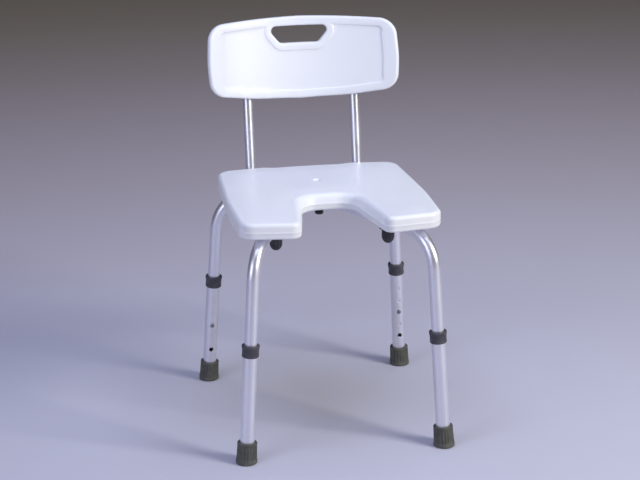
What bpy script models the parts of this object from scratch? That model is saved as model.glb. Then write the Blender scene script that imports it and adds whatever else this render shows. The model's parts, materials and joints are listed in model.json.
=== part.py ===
"""Height-adjustable shower chair: moulded seat and backrest on two bent aluminium frame tubes."""
from math import cos, pi, radians, sin, tan

import bmesh
import bpy
from mathutils import Matrix, Vector

# Driving dimensions, in metres. The floor is z = 0 and the chair faces -Y.
FIT = 0.0003  # clearance between pieces that touch
SIDES = {"left": -1.0, "right": 1.0}
ENDS = ("front", "rear")
UP = Vector((0.0, 0.0, 1.0))

# Legs
FOOT_X = {"front": 0.180, "rear": 0.1923}
FOOT_Y = {"front": -0.218, "rear": 0.1765}
LEAN_X = 0.058  # each leg leans inward, per metre of height
LEAN_Y = {"front": 0.051, "rear": -0.060}
INNER_TUBE_R = 0.0111
OUTER_TUBE_R = 0.0127
TUBE_WALL = 0.0013
INNER_TUBE_START = 0.082
OUTER_TUBE_START = 0.0126
OUTER_TUBE_END = 0.2140
HOLE_PITCH = 0.0254
FIRST_HOLE = 0.0673
HOLE_COUNT = 5
USED_HOLE = 2  # index of the hole that the snap button sits in
BUTTON_R = 0.0038
BUTTON_BACK = 0.0070  # the button's inner end, from the tube's axis
BUTTON_TIP = 0.0146
SPRING_STRIP = 0.0008
SPRING_WIDTH = 0.0080
TIP_HEIGHT = 0.0385
TIP_TOP_R = 0.0176
TIP_BASE_R = 0.0191
TIP_FLOOR = 0.010
SOLE_DEPTH = 0.003  # how far a tip's turned shape reaches below the floor before its sole is cut
COLLAR_START = 0.1965
COLLAR_END = 0.2182
COLLAR_R = 0.0158

# Seat panel
SEAT_UNDER = 0.402
SEAT_THICKNESS = 0.0300
SEAT_BACK = 0.161
SEAT_FRONT = -0.2035
SEAT_HALF_WIDTH = 0.1828
SEAT_LOW_EDGE_R = 0.0040
SEAT_TOP_EDGE_R = 0.0065
CUTOUT_BACK = -0.047
CUTOUT_FLARE = 0.008
DRAIN_Y = 0.046
DRAIN_R = 0.0035
DRAIN_DISH_R = 0.0075

# Frame tubes under the seat
FRAME_Z = SEAT_UNDER - FIT - INNER_TUBE_R
BEND_R = {"front": 0.062, "rear": 0.084}
LOOP_CORNER = {"front": Vector((0.0367, 0.026, FRAME_Z)), "rear": Vector((0.062, 0.1355, FRAME_Z))}
LOOP_R = {"front": 0.050, "rear": 0.080}

# Seat fasteners
KNOB_AT = {"front": Vector((0.102, -0.0954, 0.0)), "rear": Vector((0.1030, 0.1422, 0.0))}
STUD_R = 0.003
STUD_IN_SEAT = 0.014
STUD_IN_KNOB = 0.014
KNOB_R = 0.0115
KNOB_TIP_R = 0.0030
KNOB_BOWL = 0.0135  # height of the rounded lower part of a knob
KNOB_HEIGHT = 0.0250
WASHER_R = 0.0085
WASHER_T = 0.0012
INSERT_R = 0.0050
INSERT_LENGTH = 0.0155
SADDLE_UNDER = 0.0035  # plastic under the tube at a saddle or a socket
SADDLE_SIZE = (0.028, 0.018)
HOLDER_LOW = FRAME_Z - INNER_TUBE_R - SADDLE_UNDER
CAP_R = 0.0080
CAP_HEIGHT = 0.0062
CAP_SHANK_R = 0.0021

# Backrest and its posts
POST_X = 0.1030
POST_R = 0.0095
POST_WALL = 0.0013
POST_FOOT_Z = 0.379
POST_TOP_Z = 0.692
POST_Y_AT_SEAT = 0.1727
POST_Z_AT_SEAT = 0.420
RECLINE = 0.207  # rearward lean of the posts, per metre of height
SOCKET_TOP_Z = 0.411
SOCKET_WIDTH = 0.027
SOCKET_SLEEVE_R = 0.0129
POST_SCREW_Z = 0.394
POST_SCREW_R = 0.0105
BACK_MID_Z = 0.642
BACK_Y = 0.2135
BACK_CURVE_R = 0.295
BACK_THICKNESS = 0.011
BACK_TOP = 0.7020
BACK_BOTTOM = 0.5505
BACK_CUT_PITCH = 0.024
RIM_EDGE = 0.0135  # width of the raised rim along the top and the bottom
RIM_SIDE = 0.0240  # width of the raised rim at the two sides
SLOT_TOP = 0.685
SLOT_BOTTOM = 0.653
SLOT_TOP_HALF = 0.062
SLOT_BOTTOM_HALF = 0.036
RIB_WIDTH = 0.027
RIB_FRONT = 0.0137
RIB_Z = (0.580, 0.690)
SCREW_Z = {"lower": 0.602, "upper": 0.670}
SCREW_R = 0.0021
SCREW_HEAD_R = 0.0044
SCREW_REACH = 0.0145

TUBE_SIDES = 16
ROUND_SIDES = 16
SMALL_SIDES = 12
BEND_STEPS = 5
FILLET_STEPS = 4
MERGE = 0.000001

PALETTE = {
    "white_plastic": ((0.80, 0.82, 0.86, 1.0), 0.42, 0.0),
    "anodised_aluminium": ((0.62, 0.62, 0.68, 1.0), 0.36, 0.9),
    "grey_plastic": ((0.075, 0.072, 0.090, 1.0), 0.50, 0.0),
    "black_plastic": ((0.022, 0.021, 0.028, 1.0), 0.42, 0.0),
    "grey_rubber": ((0.085, 0.085, 0.076, 1.0), 0.80, 0.0),
    "zinc_steel": ((0.55, 0.55, 0.56, 1.0), 0.32, 1.0),
    "spring_steel": ((0.35, 0.34, 0.33, 1.0), 0.35, 1.0),
    "brass": ((0.66, 0.50, 0.24, 1.0), 0.35, 1.0),
}


def clear_scene():
    for item in list(bpy.data.objects):
        bpy.data.objects.remove(item, do_unlink=True)


def make_collection(name):
    collection = bpy.data.collections.new(name)
    bpy.context.scene.collection.children.link(collection)
    return collection


def make_material(object_name, finish):
    colour, roughness, metallic = PALETTE[finish]
    material = bpy.data.materials.new(f"{object_name}_{finish}")
    material.use_nodes = True
    shader = material.node_tree.nodes["Principled BSDF"]
    shader.inputs["Base Color"].default_value = colour
    shader.inputs["Roughness"].default_value = roughness
    shader.inputs["Metallic"].default_value = metallic
    material.diffuse_color = colour
    return material


def place_part(name, mesh, finish, matrix=None, parent=None):
    """Link a mesh as one named part, hung on its joint's empty when it has one."""
    part = bpy.data.objects.new(name, mesh)
    mesh.materials.append(make_material(name, finish))
    mesh.shade_smooth()
    mesh.set_sharp_from_angle(angle=radians(32))
    parts.objects.link(part)
    if matrix is not None:
        part.matrix_world = matrix
    if parent is not None:
        part.parent = parent
        part.matrix_parent_inverse = Matrix.Translation(-parent.location)
    return part


def place_joint(name, location):
    """An empty on a joint's axis, which carries the pieces that move with it."""
    empty = bpy.data.objects.new(name, None)
    empty.location = location
    empty.empty_display_size = 0.02
    parts.objects.link(empty)
    return empty


def place_tool(name, mesh, matrix=None):
    """A mesh that only cuts or joins: shown as wire and never rendered."""
    tool = bpy.data.objects.new(name, mesh)
    tool.display_type = "WIRE"
    tool.hide_render = True
    tools.objects.link(tool)
    if matrix is not None:
        tool.matrix_world = matrix
    return tool


def boolean(part, tool, operation="DIFFERENCE"):
    modifier = part.modifiers.new(tool.name, "BOOLEAN")
    modifier.object = tool
    modifier.operation = operation
    modifier.solver = "EXACT"


def frame_matrix(origin, axis, facing=None):
    """Local z along an axis and local y toward a facing direction."""
    if facing is None:
        helper = Vector((0.0, 1.0, 0.0)) if abs(axis.y) < 0.8 else Vector((1.0, 0.0, 0.0))
        facing = (helper - axis * helper.dot(axis)).normalized()
    side = facing.cross(axis)
    matrix = Matrix((side, facing, axis)).transposed().to_4x4()
    matrix.translation = origin
    return matrix


def finish_mesh(name, builder):
    bmesh.ops.recalc_face_normals(builder, faces=builder.faces)
    if builder.calc_volume(signed=True) < 0.0:
        bmesh.ops.reverse_faces(builder, faces=builder.faces)
    mesh = bpy.data.meshes.new(name)
    builder.to_mesh(mesh)
    builder.free()
    return mesh


def evaluated_mesh(guide):
    """The welded mesh of a guide object with its modifiers or bevel; the guide is removed."""
    tools.objects.link(guide)
    graph = bpy.context.evaluated_depsgraph_get()
    mesh = bpy.data.meshes.new_from_object(guide.evaluated_get(graph))
    name = guide.name
    bpy.data.objects.remove(guide, do_unlink=True)
    builder = bmesh.new()
    builder.from_mesh(mesh)
    bpy.data.meshes.remove(mesh)
    bmesh.ops.remove_doubles(builder, verts=builder.verts, dist=MERGE)
    return finish_mesh(name, builder)


def turned_mesh(name, profile, sides=ROUND_SIDES, ring=False):
    """Turn a profile of (radius, height) points about local z; it runs down the outer side.

    A solid's profile gets its two ends on the axis, and a ring's profile closes on itself.
    """
    if not ring:
        profile = [(0.0, profile[0][1]), *profile, (0.0, profile[-1][1])]
    count = len(profile)
    edges = [(k, (k + 1) % count) for k in range(count if ring else count - 1)]
    outline = bpy.data.meshes.new(name)
    outline.from_pydata([(radius, 0.0, height) for radius, height in profile], edges, [])
    guide = bpy.data.objects.new(name, outline)
    screw = guide.modifiers.new("turn", "SCREW")
    screw.steps = sides
    screw.render_steps = sides
    screw.use_merge_vertices = True
    screw.merge_threshold = MERGE
    return evaluated_mesh(guide)


def add_cylinder(builder, radius, start, end, matrix=Matrix.Identity(4), sides=SMALL_SIDES):
    centre = Matrix.Translation((0.0, 0.0, (start + end) / 2.0))
    bmesh.ops.create_cone(
        builder,
        cap_ends=True,
        segments=sides,
        radius1=radius,
        radius2=radius,
        depth=end - start,
        matrix=matrix @ centre,
    )


def cylinder_mesh(name, radius, start, end, sides=SMALL_SIDES):
    builder = bmesh.new()
    add_cylinder(builder, radius, start, end, sides=sides)
    return finish_mesh(name, builder)


def box_mesh(name, size):
    builder = bmesh.new()
    bmesh.ops.create_cube(builder, size=1.0, matrix=Matrix.Diagonal((*size, 1.0)))
    return finish_mesh(name, builder)


def cut_hole(part, name, radius, origin, axis, length, sides=SMALL_SIDES):
    mesh = cylinder_mesh(name, radius, 0.0, length, sides)
    boolean(part, place_tool(name, mesh, frame_matrix(origin, axis)))


def chamfer(part, width):
    modifier = part.modifiers.new("chamfer", "BEVEL")
    modifier.width = width
    modifier.segments = 1


def loft_mesh(rings, steps=()):
    """Skin a stack of unlike closed outlines, capped at both ends and split at the given x planes."""
    builder = bmesh.new()
    rows = [[builder.verts.new(point) for point in ring] for ring in rings]
    count = len(rows[0])
    for lower, upper in zip(rows, rows[1:]):
        for k in range(count):
            nxt = (k + 1) % count
            builder.faces.new((lower[k], lower[nxt], upper[nxt], upper[k]))
    builder.faces.new(list(reversed(rows[0])))
    builder.faces.new(rows[-1])
    for x in steps:
        everything = builder.verts[:] + builder.edges[:] + builder.faces[:]
        plane = {"plane_co": (x, 0.0, 0.0), "plane_no": (1.0, 0.0, 0.0)}
        bmesh.ops.bisect_plane(builder, geom=everything, **plane)
    return builder


def fillet(points, radii, steps=FILLET_STEPS):
    """Round the inner corners of an open polyline with arcs of the given radii."""
    path = [points[0]]
    for before, corner, after, radius in zip(points, points[1:], points[2:], radii):
        inward = (corner - before).normalized()
        outward = (after - corner).normalized()
        turn = inward.angle(outward)
        start = corner - inward * radius * tan(turn / 2.0)
        side = (outward - inward * cos(turn)).normalized()
        centre = start + side * radius
        for k in range(steps + 1):
            swing = turn * k / steps
            path.append(centre - side * radius * cos(swing) + inward * radius * sin(swing))
    path.append(points[-1])
    return path


def pipe_mesh(name, path, radius, capped):
    """The skin of a round pipe along a path, from a bevelled curve."""
    curve = bpy.data.curves.new(name, "CURVE")
    curve.dimensions = "3D"
    curve.bevel_depth = radius
    curve.bevel_resolution = (TUBE_SIDES - 4) // 2
    curve.use_fill_caps = capped
    spline = curve.splines.new("POLY")
    spline.points.add(len(path) - 1)
    for point, place in zip(spline.points, path):
        point.co = (*place, 1.0)
    return evaluated_mesh(bpy.data.objects.new(name, curve))


def place_tube(name, path, radius, wall, parent=None):
    """An open-ended aluminium tube: the pipe's skin thickened inward."""
    tube = place_part(name, pipe_mesh(name, path, radius, False), "anodised_aluminium", None, parent)
    shell = tube.modifiers.new("wall", "SOLIDIFY")
    shell.thickness = wall
    shell.offset = -1.0
    return tube


def mirror_half(half):
    """Close a half outline that starts and ends on x = 0 with its mirror image."""
    return half + [Vector((-p.x, p.y, p.z)) for p in half[-2:0:-1]]


def shift_outline(outline, distances):
    """Move each point of an anticlockwise outline in the xy plane inward along its normal."""
    moved = []
    for k, point in enumerate(outline):
        before = (point - outline[k - 1]).normalized()
        after = (outline[(k + 1) % len(outline)] - point).normalized()
        along = (before + after).normalized()
        moved.append(point + Vector((-along.y, along.x, 0.0)) * distances[k])
    return moved


def rounded_edge(height, low_r, high_r, steps):
    """(inset, height) pairs up a wall that is rounded at its foot and at its top."""
    quarter = [0.5 * pi * k / steps for k in range(steps + 1)]
    foot = [(low_r * (1.0 - sin(turn)), low_r * (1.0 - cos(turn))) for turn in quarter]
    top = [(high_r * (1.0 - cos(turn)), height - high_r * (1.0 - sin(turn))) for turn in quarter]
    return foot + top


def leg_frame(end, side):
    """Foot centre, upward axis, and the direction that the adjustment holes face."""
    foot = Vector((SIDES[side] * FOOT_X[end], FOOT_Y[end], 0.0))
    axis = Vector((-SIDES[side] * LEAN_X, LEAN_Y[end], 1.0)).normalized()
    toward = Vector((0.0, 1.0 if end == "front" else -1.0, 0.0))
    facing = (toward - axis * toward.dot(axis)).normalized()
    return foot, axis, facing


def leg_point(end, side, height):
    foot, axis, _ = leg_frame(end, side)
    return foot + axis * (height / axis.z)


def button_centre(end, side):
    foot, axis, _ = leg_frame(end, side)
    return foot + axis * (FIRST_HOLE + USED_HOLE * HOLE_PITCH)


def knob_spot(end, side, height):
    return Vector((SIDES[side] * KNOB_AT[end].x, KNOB_AT[end].y, height))


def seat_outline():
    """Anticlockwise plan of the seat, from the back of the cut-out round to it again."""
    half = [
        Vector((0.0, CUTOUT_BACK, 0.0)),
        Vector((0.0470, CUTOUT_BACK, 0.0)),
        Vector((0.0550, -0.100, 0.0)),
        Vector((0.0755, SEAT_FRONT, 0.0)),
        Vector((0.1790, -0.189, 0.0)),
        Vector((SEAT_HALF_WIDTH, -0.050, 0.0)),
        Vector((0.1722, SEAT_BACK - 0.015, 0.0)),
        Vector((0.095, SEAT_BACK - 0.0055, 0.0)),
        Vector((0.035, SEAT_BACK, 0.0)),
        Vector((0.0, SEAT_BACK, 0.0)),
    ]
    return mirror_half(fillet(half, [0.036, 0.100, 0.018, 0.030, 1.0, 0.030, 0.8, 0.6]))


def flare_weight(point):
    """1 on the wall of the cut-out, fading to 0 round the front lobes."""
    sideways = min(1.0, max(0.0, (0.084 - abs(point.x)) / 0.020))
    inward = min(1.0, max(0.0, (point.y - SEAT_FRONT) / 0.030))
    return sideways * inward


def make_seat():
    outline = seat_outline()
    weights = [flare_weight(p) for p in outline]
    rings = []
    for inset, height in rounded_edge(SEAT_THICKNESS, SEAT_LOW_EDGE_R, SEAT_TOP_EDGE_R, 3):
        rise = max(0.0, (height - SEAT_LOW_EDGE_R) / (SEAT_THICKNESS - SEAT_LOW_EDGE_R))
        shifts = [inset + CUTOUT_FLARE * rise * rise * w for w in weights]
        rings.append([Vector((p.x, p.y, height)) for p in shift_outline(outline, shifts)])
    mesh = finish_mesh("seat_panel", loft_mesh(rings))
    seat = place_part("seat_panel", mesh, "white_plastic", Matrix.Translation(UP * SEAT_UNDER))
    drain = [(DRAIN_DISH_R, SEAT_THICKNESS + 0.006), (DRAIN_DISH_R, SEAT_THICKNESS)]
    drain += [(DRAIN_R, SEAT_THICKNESS - 0.004), (DRAIN_R, -0.006)]
    place = Matrix.Translation((0.0, DRAIN_Y, SEAT_UNDER))
    boolean(seat, place_tool("drain_cutter", turned_mesh("drain_cutter", drain), place))
    low = SEAT_UNDER - 0.005
    for end in ENDS:
        for side in SIDES:
            name = f"insert_pocket_{end}_{side}"
            cut_hole(seat, name, INSERT_R + FIT, knob_spot(end, side, low), UP, 0.022)
    spot = Vector((0.0, LOOP_CORNER["front"].y, low))
    cut_hole(seat, "centre_screw_pocket", CAP_SHANK_R + FIT, spot, UP, 0.020)


def frame_path(end):
    """Up one leg, under the seat, round the loop and down the other leg."""
    start = leg_point(end, "left", INNER_TUBE_START)
    shoulder = leg_point(end, "left", FRAME_Z)
    corner = LOOP_CORNER[end]
    half = [start, shoulder, Vector((-corner.x, corner.y, corner.z))]
    other = [Vector((-p.x, p.y, p.z)) for p in reversed(half)]
    radii = [BEND_R[end], LOOP_R[end], LOOP_R[end], BEND_R[end]]
    return fillet(half + other, radii, BEND_STEPS)


def make_frame_tube(end):
    name = f"{end}_frame_tube"
    tube = place_tube(name, frame_path(end), INNER_TUBE_R, TUBE_WALL)
    low = FRAME_Z - 0.020
    for side in SIDES:
        facing = leg_frame(end, side)[2]
        spot = button_centre(end, side) + facing * 0.004
        cut_hole(tube, f"button_hole_{end}_{side}", BUTTON_R + FIT, spot, facing, 0.012)
        cut_hole(tube, f"stud_hole_{end}_{side}", STUD_R + FIT, knob_spot(end, side, low), UP, 0.040)
    if end == "front":
        spot = Vector((0.0, LOOP_CORNER[end].y, low))
        cut_hole(tube, "centre_hole", CAP_SHANK_R + FIT, spot, UP, 0.040)


def make_sweep(end):
    """A solid of the frame tube with clearance, which cuts the channel of whatever holds it."""
    name = f"{end}_tube_sweep"
    return place_tool(name, pipe_mesh(name, frame_path(end), INNER_TUBE_R + FIT, True))


def make_lower_tube(end, side):
    foot, axis, facing = leg_frame(end, side)
    joint = place_joint(f"leg_slide_{end}_{side}", foot)
    path = [foot + axis * OUTER_TUBE_START, foot + axis * OUTER_TUBE_END]
    tube = place_tube(f"lower_leg_tube_{end}_{side}", path, OUTER_TUBE_R, TUBE_WALL, joint)
    builder = bmesh.new()
    for k in range(HOLE_COUNT):
        place = frame_matrix(foot + axis * (FIRST_HOLE + k * HOLE_PITCH), facing)
        add_cylinder(builder, BUTTON_R + FIT, 0.004, 0.018, place)
    label = f"adjustment_holes_{end}_{side}"
    boolean(tube, place_tool(label, finish_mesh(label, builder)))
    return joint


def make_collar(end, side, joint):
    """The moulded cap on the lower tube's top, which guides the frame tube."""
    foot, axis, _ = leg_frame(end, side)
    guide = INNER_TUBE_R + FIT
    sleeve = OUTER_TUBE_R + FIT
    profile = [
        (guide, COLLAR_END),
        (COLLAR_R - 0.0012, COLLAR_END),
        (COLLAR_R, COLLAR_END - 0.0015),
        (COLLAR_R, COLLAR_END - 0.0050),
        (COLLAR_R - 0.0009, COLLAR_END - 0.0062),
        (COLLAR_R - 0.0009, COLLAR_START + 0.0048),
        (COLLAR_R - 0.0003, COLLAR_START + 0.0036),
        (COLLAR_R - 0.0006, COLLAR_START),
        (sleeve, COLLAR_START),
        (sleeve, OUTER_TUBE_END + FIT),
        (guide, OUTER_TUBE_END + FIT),
    ]
    name = f"leg_collar_{end}_{side}"
    mesh = turned_mesh(name, profile, ring=True)
    place_part(name, mesh, "grey_plastic", frame_matrix(foot, axis), joint)


def make_tip(end, side, joint):
    """The rubber tip, whose sole is cut level with the floor, and the steel washer inside it."""
    foot, axis, _ = leg_frame(end, side)
    place = frame_matrix(foot, axis)
    sleeve = OUTER_TUBE_R + FIT
    profile = [
        (sleeve, TIP_HEIGHT),
        (TIP_TOP_R - 0.0010, TIP_HEIGHT),
        (TIP_TOP_R, TIP_HEIGHT - 0.0015),
        (TIP_BASE_R, 0.0075),
        (TIP_BASE_R, -SOLE_DEPTH),
        (0.0, -SOLE_DEPTH),
        (0.0, TIP_FLOOR),
        (sleeve, TIP_FLOOR),
    ]
    name = f"leg_tip_{end}_{side}"
    mesh = turned_mesh(name, profile, ring=True)
    tip = place_part(name, mesh, "grey_rubber", place, joint)
    label = f"floor_{end}_{side}"
    low = Matrix.Translation(foot - UP * SOLE_DEPTH)
    boolean(tip, place_tool(label, box_mesh(label, (0.06, 0.06, 2.0 * SOLE_DEPTH)), low))
    name = f"tip_washer_{end}_{side}"
    low = TIP_FLOOR + FIT
    mesh = cylinder_mesh(name, OUTER_TUBE_R - 0.0005, low, low + 0.0018, ROUND_SIDES)
    place_part(name, mesh, "zinc_steel", place, joint)


def make_snap_lock(end, side):
    """The button in its hole and the V-shaped spring that pushes it out."""
    axis, facing = leg_frame(end, side)[1:]
    centre = button_centre(end, side)
    joint = place_joint(f"button_press_{end}_{side}", centre)
    profile = [
        (BUTTON_R * 0.45, BUTTON_TIP),
        (BUTTON_R * 0.86, BUTTON_TIP - 0.0006),
        (BUTTON_R, BUTTON_TIP - 0.0015),
        (BUTTON_R, BUTTON_BACK),
    ]
    name = f"snap_button_{end}_{side}"
    mesh = turned_mesh(name, profile, SMALL_SIDES)
    place_part(name, mesh, "zinc_steel", frame_matrix(centre, facing), joint)
    strip = [(0.0062, 0.0065), (0.0062, -0.012), (0.0040, -0.024), (0.0, -0.030)]
    strip += [(-0.0040, -0.024), (-0.0078, 0.004)]
    builder = bmesh.new()
    points = [builder.verts.new((-SPRING_WIDTH / 2.0, out, up)) for out, up in strip]
    edges = [builder.edges.new(pair) for pair in zip(points, points[1:])]
    swept = bmesh.ops.extrude_edge_only(builder, edges=edges)
    moved = [item for item in swept["geom"] if isinstance(item, bmesh.types.BMVert)]
    bmesh.ops.translate(builder, verts=moved, vec=(SPRING_WIDTH, 0.0, 0.0))
    name = f"snap_spring_{end}_{side}"
    mesh = bpy.data.meshes.new(name)
    builder.to_mesh(mesh)
    builder.free()
    spring = place_part(name, mesh, "spring_steel", frame_matrix(centre, axis, facing))
    thicken = spring.modifiers.new("strip", "SOLIDIFY")
    thicken.thickness = SPRING_STRIP
    thicken.offset = 0.0


def make_leg(end, side):
    joint = make_lower_tube(end, side)
    make_collar(end, side, joint)
    make_tip(end, side, joint)
    make_snap_lock(end, side)


def make_saddle(side, sweep):
    """A moulded rest between the front frame tube and its knob."""
    run = LOOP_CORNER["front"] - leg_point("front", "right", FRAME_Z)
    run = Vector((SIDES[side] * run.x, run.y, 0.0)).normalized()
    height = 0.0115
    place = frame_matrix(knob_spot("front", side, HOLDER_LOW + height / 2.0), UP, run)
    name = f"tube_saddle_{side}"
    saddle = place_part(name, box_mesh(name, (*SADDLE_SIZE, height)), "grey_plastic", place)
    chamfer(saddle, 0.0012)
    boolean(saddle, sweep)
    spot = knob_spot("front", side, HOLDER_LOW - 0.005)
    cut_hole(saddle, f"saddle_hole_{side}", STUD_R + FIT, spot, UP, 0.020)


def make_knob(end, side):
    """A rounded hand knob on a steel stud, with its washer and the insert that it screws into."""
    spot = knob_spot(end, side, 0.0)
    place = Matrix.Translation(spot)
    bore = STUD_R + FIT
    washer_low = HOLDER_LOW - FIT - WASHER_T
    top = washer_low - FIT
    low = top - KNOB_HEIGHT
    joint = place_joint(f"knob_turn_{end}_{side}", Vector((spot.x, spot.y, top)))
    profile = [
        (bore, top - STUD_IN_KNOB),
        (bore, top),
        (KNOB_R - 0.0015, top),
        (KNOB_R, top - 0.0020),
    ]
    for turn in (0.0, 0.14 * pi, 0.26 * pi, 0.37 * pi):
        profile.append((KNOB_R * cos(turn), low + KNOB_BOWL * (1.0 - sin(turn))))
    profile.append((KNOB_TIP_R, low))
    name = f"seat_knob_{end}_{side}"
    place_part(name, turned_mesh(name, profile), "black_plastic", place, joint)
    name = f"knob_stud_{end}_{side}"
    mesh = cylinder_mesh(name, STUD_R, top - STUD_IN_KNOB + FIT, SEAT_UNDER + STUD_IN_SEAT)
    place_part(name, mesh, "zinc_steel", place, joint)
    profile = [(WASHER_R, washer_low + WASHER_T), (WASHER_R, washer_low)]
    profile += [(bore, washer_low), (bore, washer_low + WASHER_T)]
    name = f"knob_washer_{end}_{side}"
    place_part(name, turned_mesh(name, profile, ring=True), "zinc_steel", place)
    low = SEAT_UNDER + FIT
    profile = [(INSERT_R, low + INSERT_LENGTH), (INSERT_R, low)]
    profile += [(bore, low), (bore, low + INSERT_LENGTH)]
    name = f"seat_insert_{end}_{side}"
    place_part(name, turned_mesh(name, profile, SMALL_SIDES, ring=True), "brass", place)


def make_centre_cap():
    """The low black screw cap that holds the loop of the front tube up to the seat."""
    top = FRAME_Z - INNER_TUBE_R - FIT
    profile = [
        (CAP_SHANK_R, SEAT_UNDER + STUD_IN_SEAT),
        (CAP_SHANK_R, top),
        (CAP_R, top),
        (CAP_R, top - 0.0030),
        (CAP_R - 0.0010, top - CAP_HEIGHT + 0.0016),
        (CAP_R * 0.6, top - CAP_HEIGHT),
    ]
    place = Matrix.Translation((0.0, LOOP_CORNER["front"].y, 0.0))
    mesh = turned_mesh("centre_screw_cap", profile)
    place_part("centre_screw_cap", mesh, "black_plastic", place)


def post_point(side, height):
    shift = RECLINE * (height - POST_Z_AT_SEAT)
    return Vector((SIDES[side] * POST_X, POST_Y_AT_SEAT + shift, height))


def make_post(side, joint):
    """A straight back post with its top plug and the two screws into the backrest."""
    start = post_point(side, POST_FOOT_Z)
    end = post_point(side, POST_TOP_Z)
    post = place_tube(f"back_post_{side}", [start, end], POST_R, POST_WALL, joint)
    bore = POST_R - POST_WALL - FIT
    profile = [
        (POST_R - 0.0020, 0.0026),
        (POST_R, 0.0012),
        (POST_R, FIT),
        (bore, FIT),
        (bore, -0.010),
        (bore - 0.0008, -0.012),
    ]
    name = f"post_plug_{side}"
    place_part(name, turned_mesh(name, profile), "grey_plastic", frame_matrix(end, POST_AXIS), joint)
    head = POST_R + FIT
    profile = [
        (SCREW_HEAD_R - 0.0018, head + 0.0025),
        (SCREW_HEAD_R, head + 0.0011),
        (SCREW_HEAD_R, head),
        (SCREW_R, head),
        (SCREW_R, -SCREW_REACH),
    ]
    for level, height in SCREW_Z.items():
        spot = post_point(side, height)
        start = spot - REARWARD * 0.015
        cut_hole(post, f"post_hole_{side}_{level}", SCREW_R + FIT, start, REARWARD, 0.030)
        name = f"backrest_screw_{side}_{level}"
        mesh = turned_mesh(name, profile, SMALL_SIDES)
        place_part(name, mesh, "zinc_steel", frame_matrix(spot, REARWARD), joint)


def make_socket(side, sweep):
    """The moulded socket behind the seat that holds a post and straddles the rear tube."""
    top = SEAT_UNDER - 0.0006
    front = KNOB_AT["rear"].y - 0.0145
    back = post_point(side, HOLDER_LOW).y + 0.004
    centre = Vector((SIDES[side] * POST_X, (front + back) / 2.0, (HOLDER_LOW + top) / 2.0))
    name = f"post_socket_{side}"
    mesh = box_mesh(name, (SOCKET_WIDTH, back - front, top - HOLDER_LOW))
    socket = place_part(name, mesh, "grey_plastic", Matrix.Translation(centre))
    chamfer(socket, 0.0010)
    foot = frame_matrix(post_point(side, POST_FOOT_Z), POST_AXIS)
    reach = (SOCKET_TOP_Z - POST_FOOT_Z) / POST_AXIS.z
    sleeve = [
        (SOCKET_SLEEVE_R - 0.0008, reach),
        (SOCKET_SLEEVE_R, reach - 0.001),
        (SOCKET_SLEEVE_R, -0.0030),
        (SOCKET_SLEEVE_R - 0.0011, -0.0042),
    ]
    label = f"socket_sleeve_{side}"
    boolean(socket, place_tool(label, turned_mesh(label, sleeve), foot), "UNION")
    label = f"socket_bore_{side}"
    mesh = cylinder_mesh(label, POST_R + FIT, -FIT, reach + 0.01, TUBE_SIDES)
    boolean(socket, place_tool(label, mesh, foot))
    label = f"socket_drain_{side}"
    boolean(socket, place_tool(label, cylinder_mesh(label, 0.0025, -0.008, 0.004), foot))
    boolean(socket, sweep)
    spot = knob_spot("rear", side, HOLDER_LOW - 0.005)
    cut_hole(socket, f"socket_stud_hole_{side}", STUD_R + FIT, spot, UP, 0.035)
    spot = post_point(side, POST_SCREW_Z)
    cut_hole(socket, f"socket_screw_hole_{side}", STUD_R + FIT, spot, REARWARD, 0.020)


def make_post_screw(side):
    """The hand screw that clamps a post in its socket."""
    spot = post_point(side, POST_SCREW_Z)
    joint = place_joint(f"post_screw_turn_{side}", spot)
    shoulder = 0.0150
    profile = [
        (POST_SCREW_R - 0.0015, shoulder + 0.0105),
        (POST_SCREW_R, shoulder + 0.0075),
        (POST_SCREW_R - 0.0010, shoulder + 0.0015),
        (POST_SCREW_R - 0.0045, shoulder),
        (STUD_R, shoulder),
        (STUD_R, POST_R + FIT),
    ]
    name = f"post_screw_{side}"
    place_part(name, turned_mesh(name, profile), "black_plastic", frame_matrix(spot, REARWARD), joint)


def lay_on_back(point):
    """Move a flat point (x, height, depth) onto the reclined, curved surface of the back."""
    outward = Vector((point.x / BACK_CURVE_R, 1.0, 0.0)).normalized()
    sag = point.x * point.x / (2.0 * BACK_CURVE_R)
    y = BACK_Y + RECLINE * (point.y - BACK_MID_Z) - sag
    return Vector((point.x, y, point.y)) + outward * point.z


def backrest_outline():
    half = [
        Vector((0.0, BACK_BOTTOM, 0.0)),
        Vector((0.090, BACK_BOTTOM + 0.0045, 0.0)),
        Vector((0.1745, BACK_BOTTOM + 0.0215, 0.0)),
        Vector((0.1785, BACK_BOTTOM + 0.080, 0.0)),
        Vector((0.1738, BACK_TOP - 0.003, 0.0)),
        Vector((0.0, BACK_TOP, 0.0)),
    ]
    return mirror_half(fillet(half, [0.40, 0.034, 0.25, 0.030]))


def rim_widths(outline):
    """The rim's width at each point of the outline: wide at the sides, narrow above and below."""
    widths = []
    for k in range(len(outline)):
        along = (outline[(k + 1) % len(outline)] - outline[k - 1]).normalized()
        widths.append(RIM_EDGE + (RIM_SIDE - RIM_EDGE) * along.y * along.y)
    return widths


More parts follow.
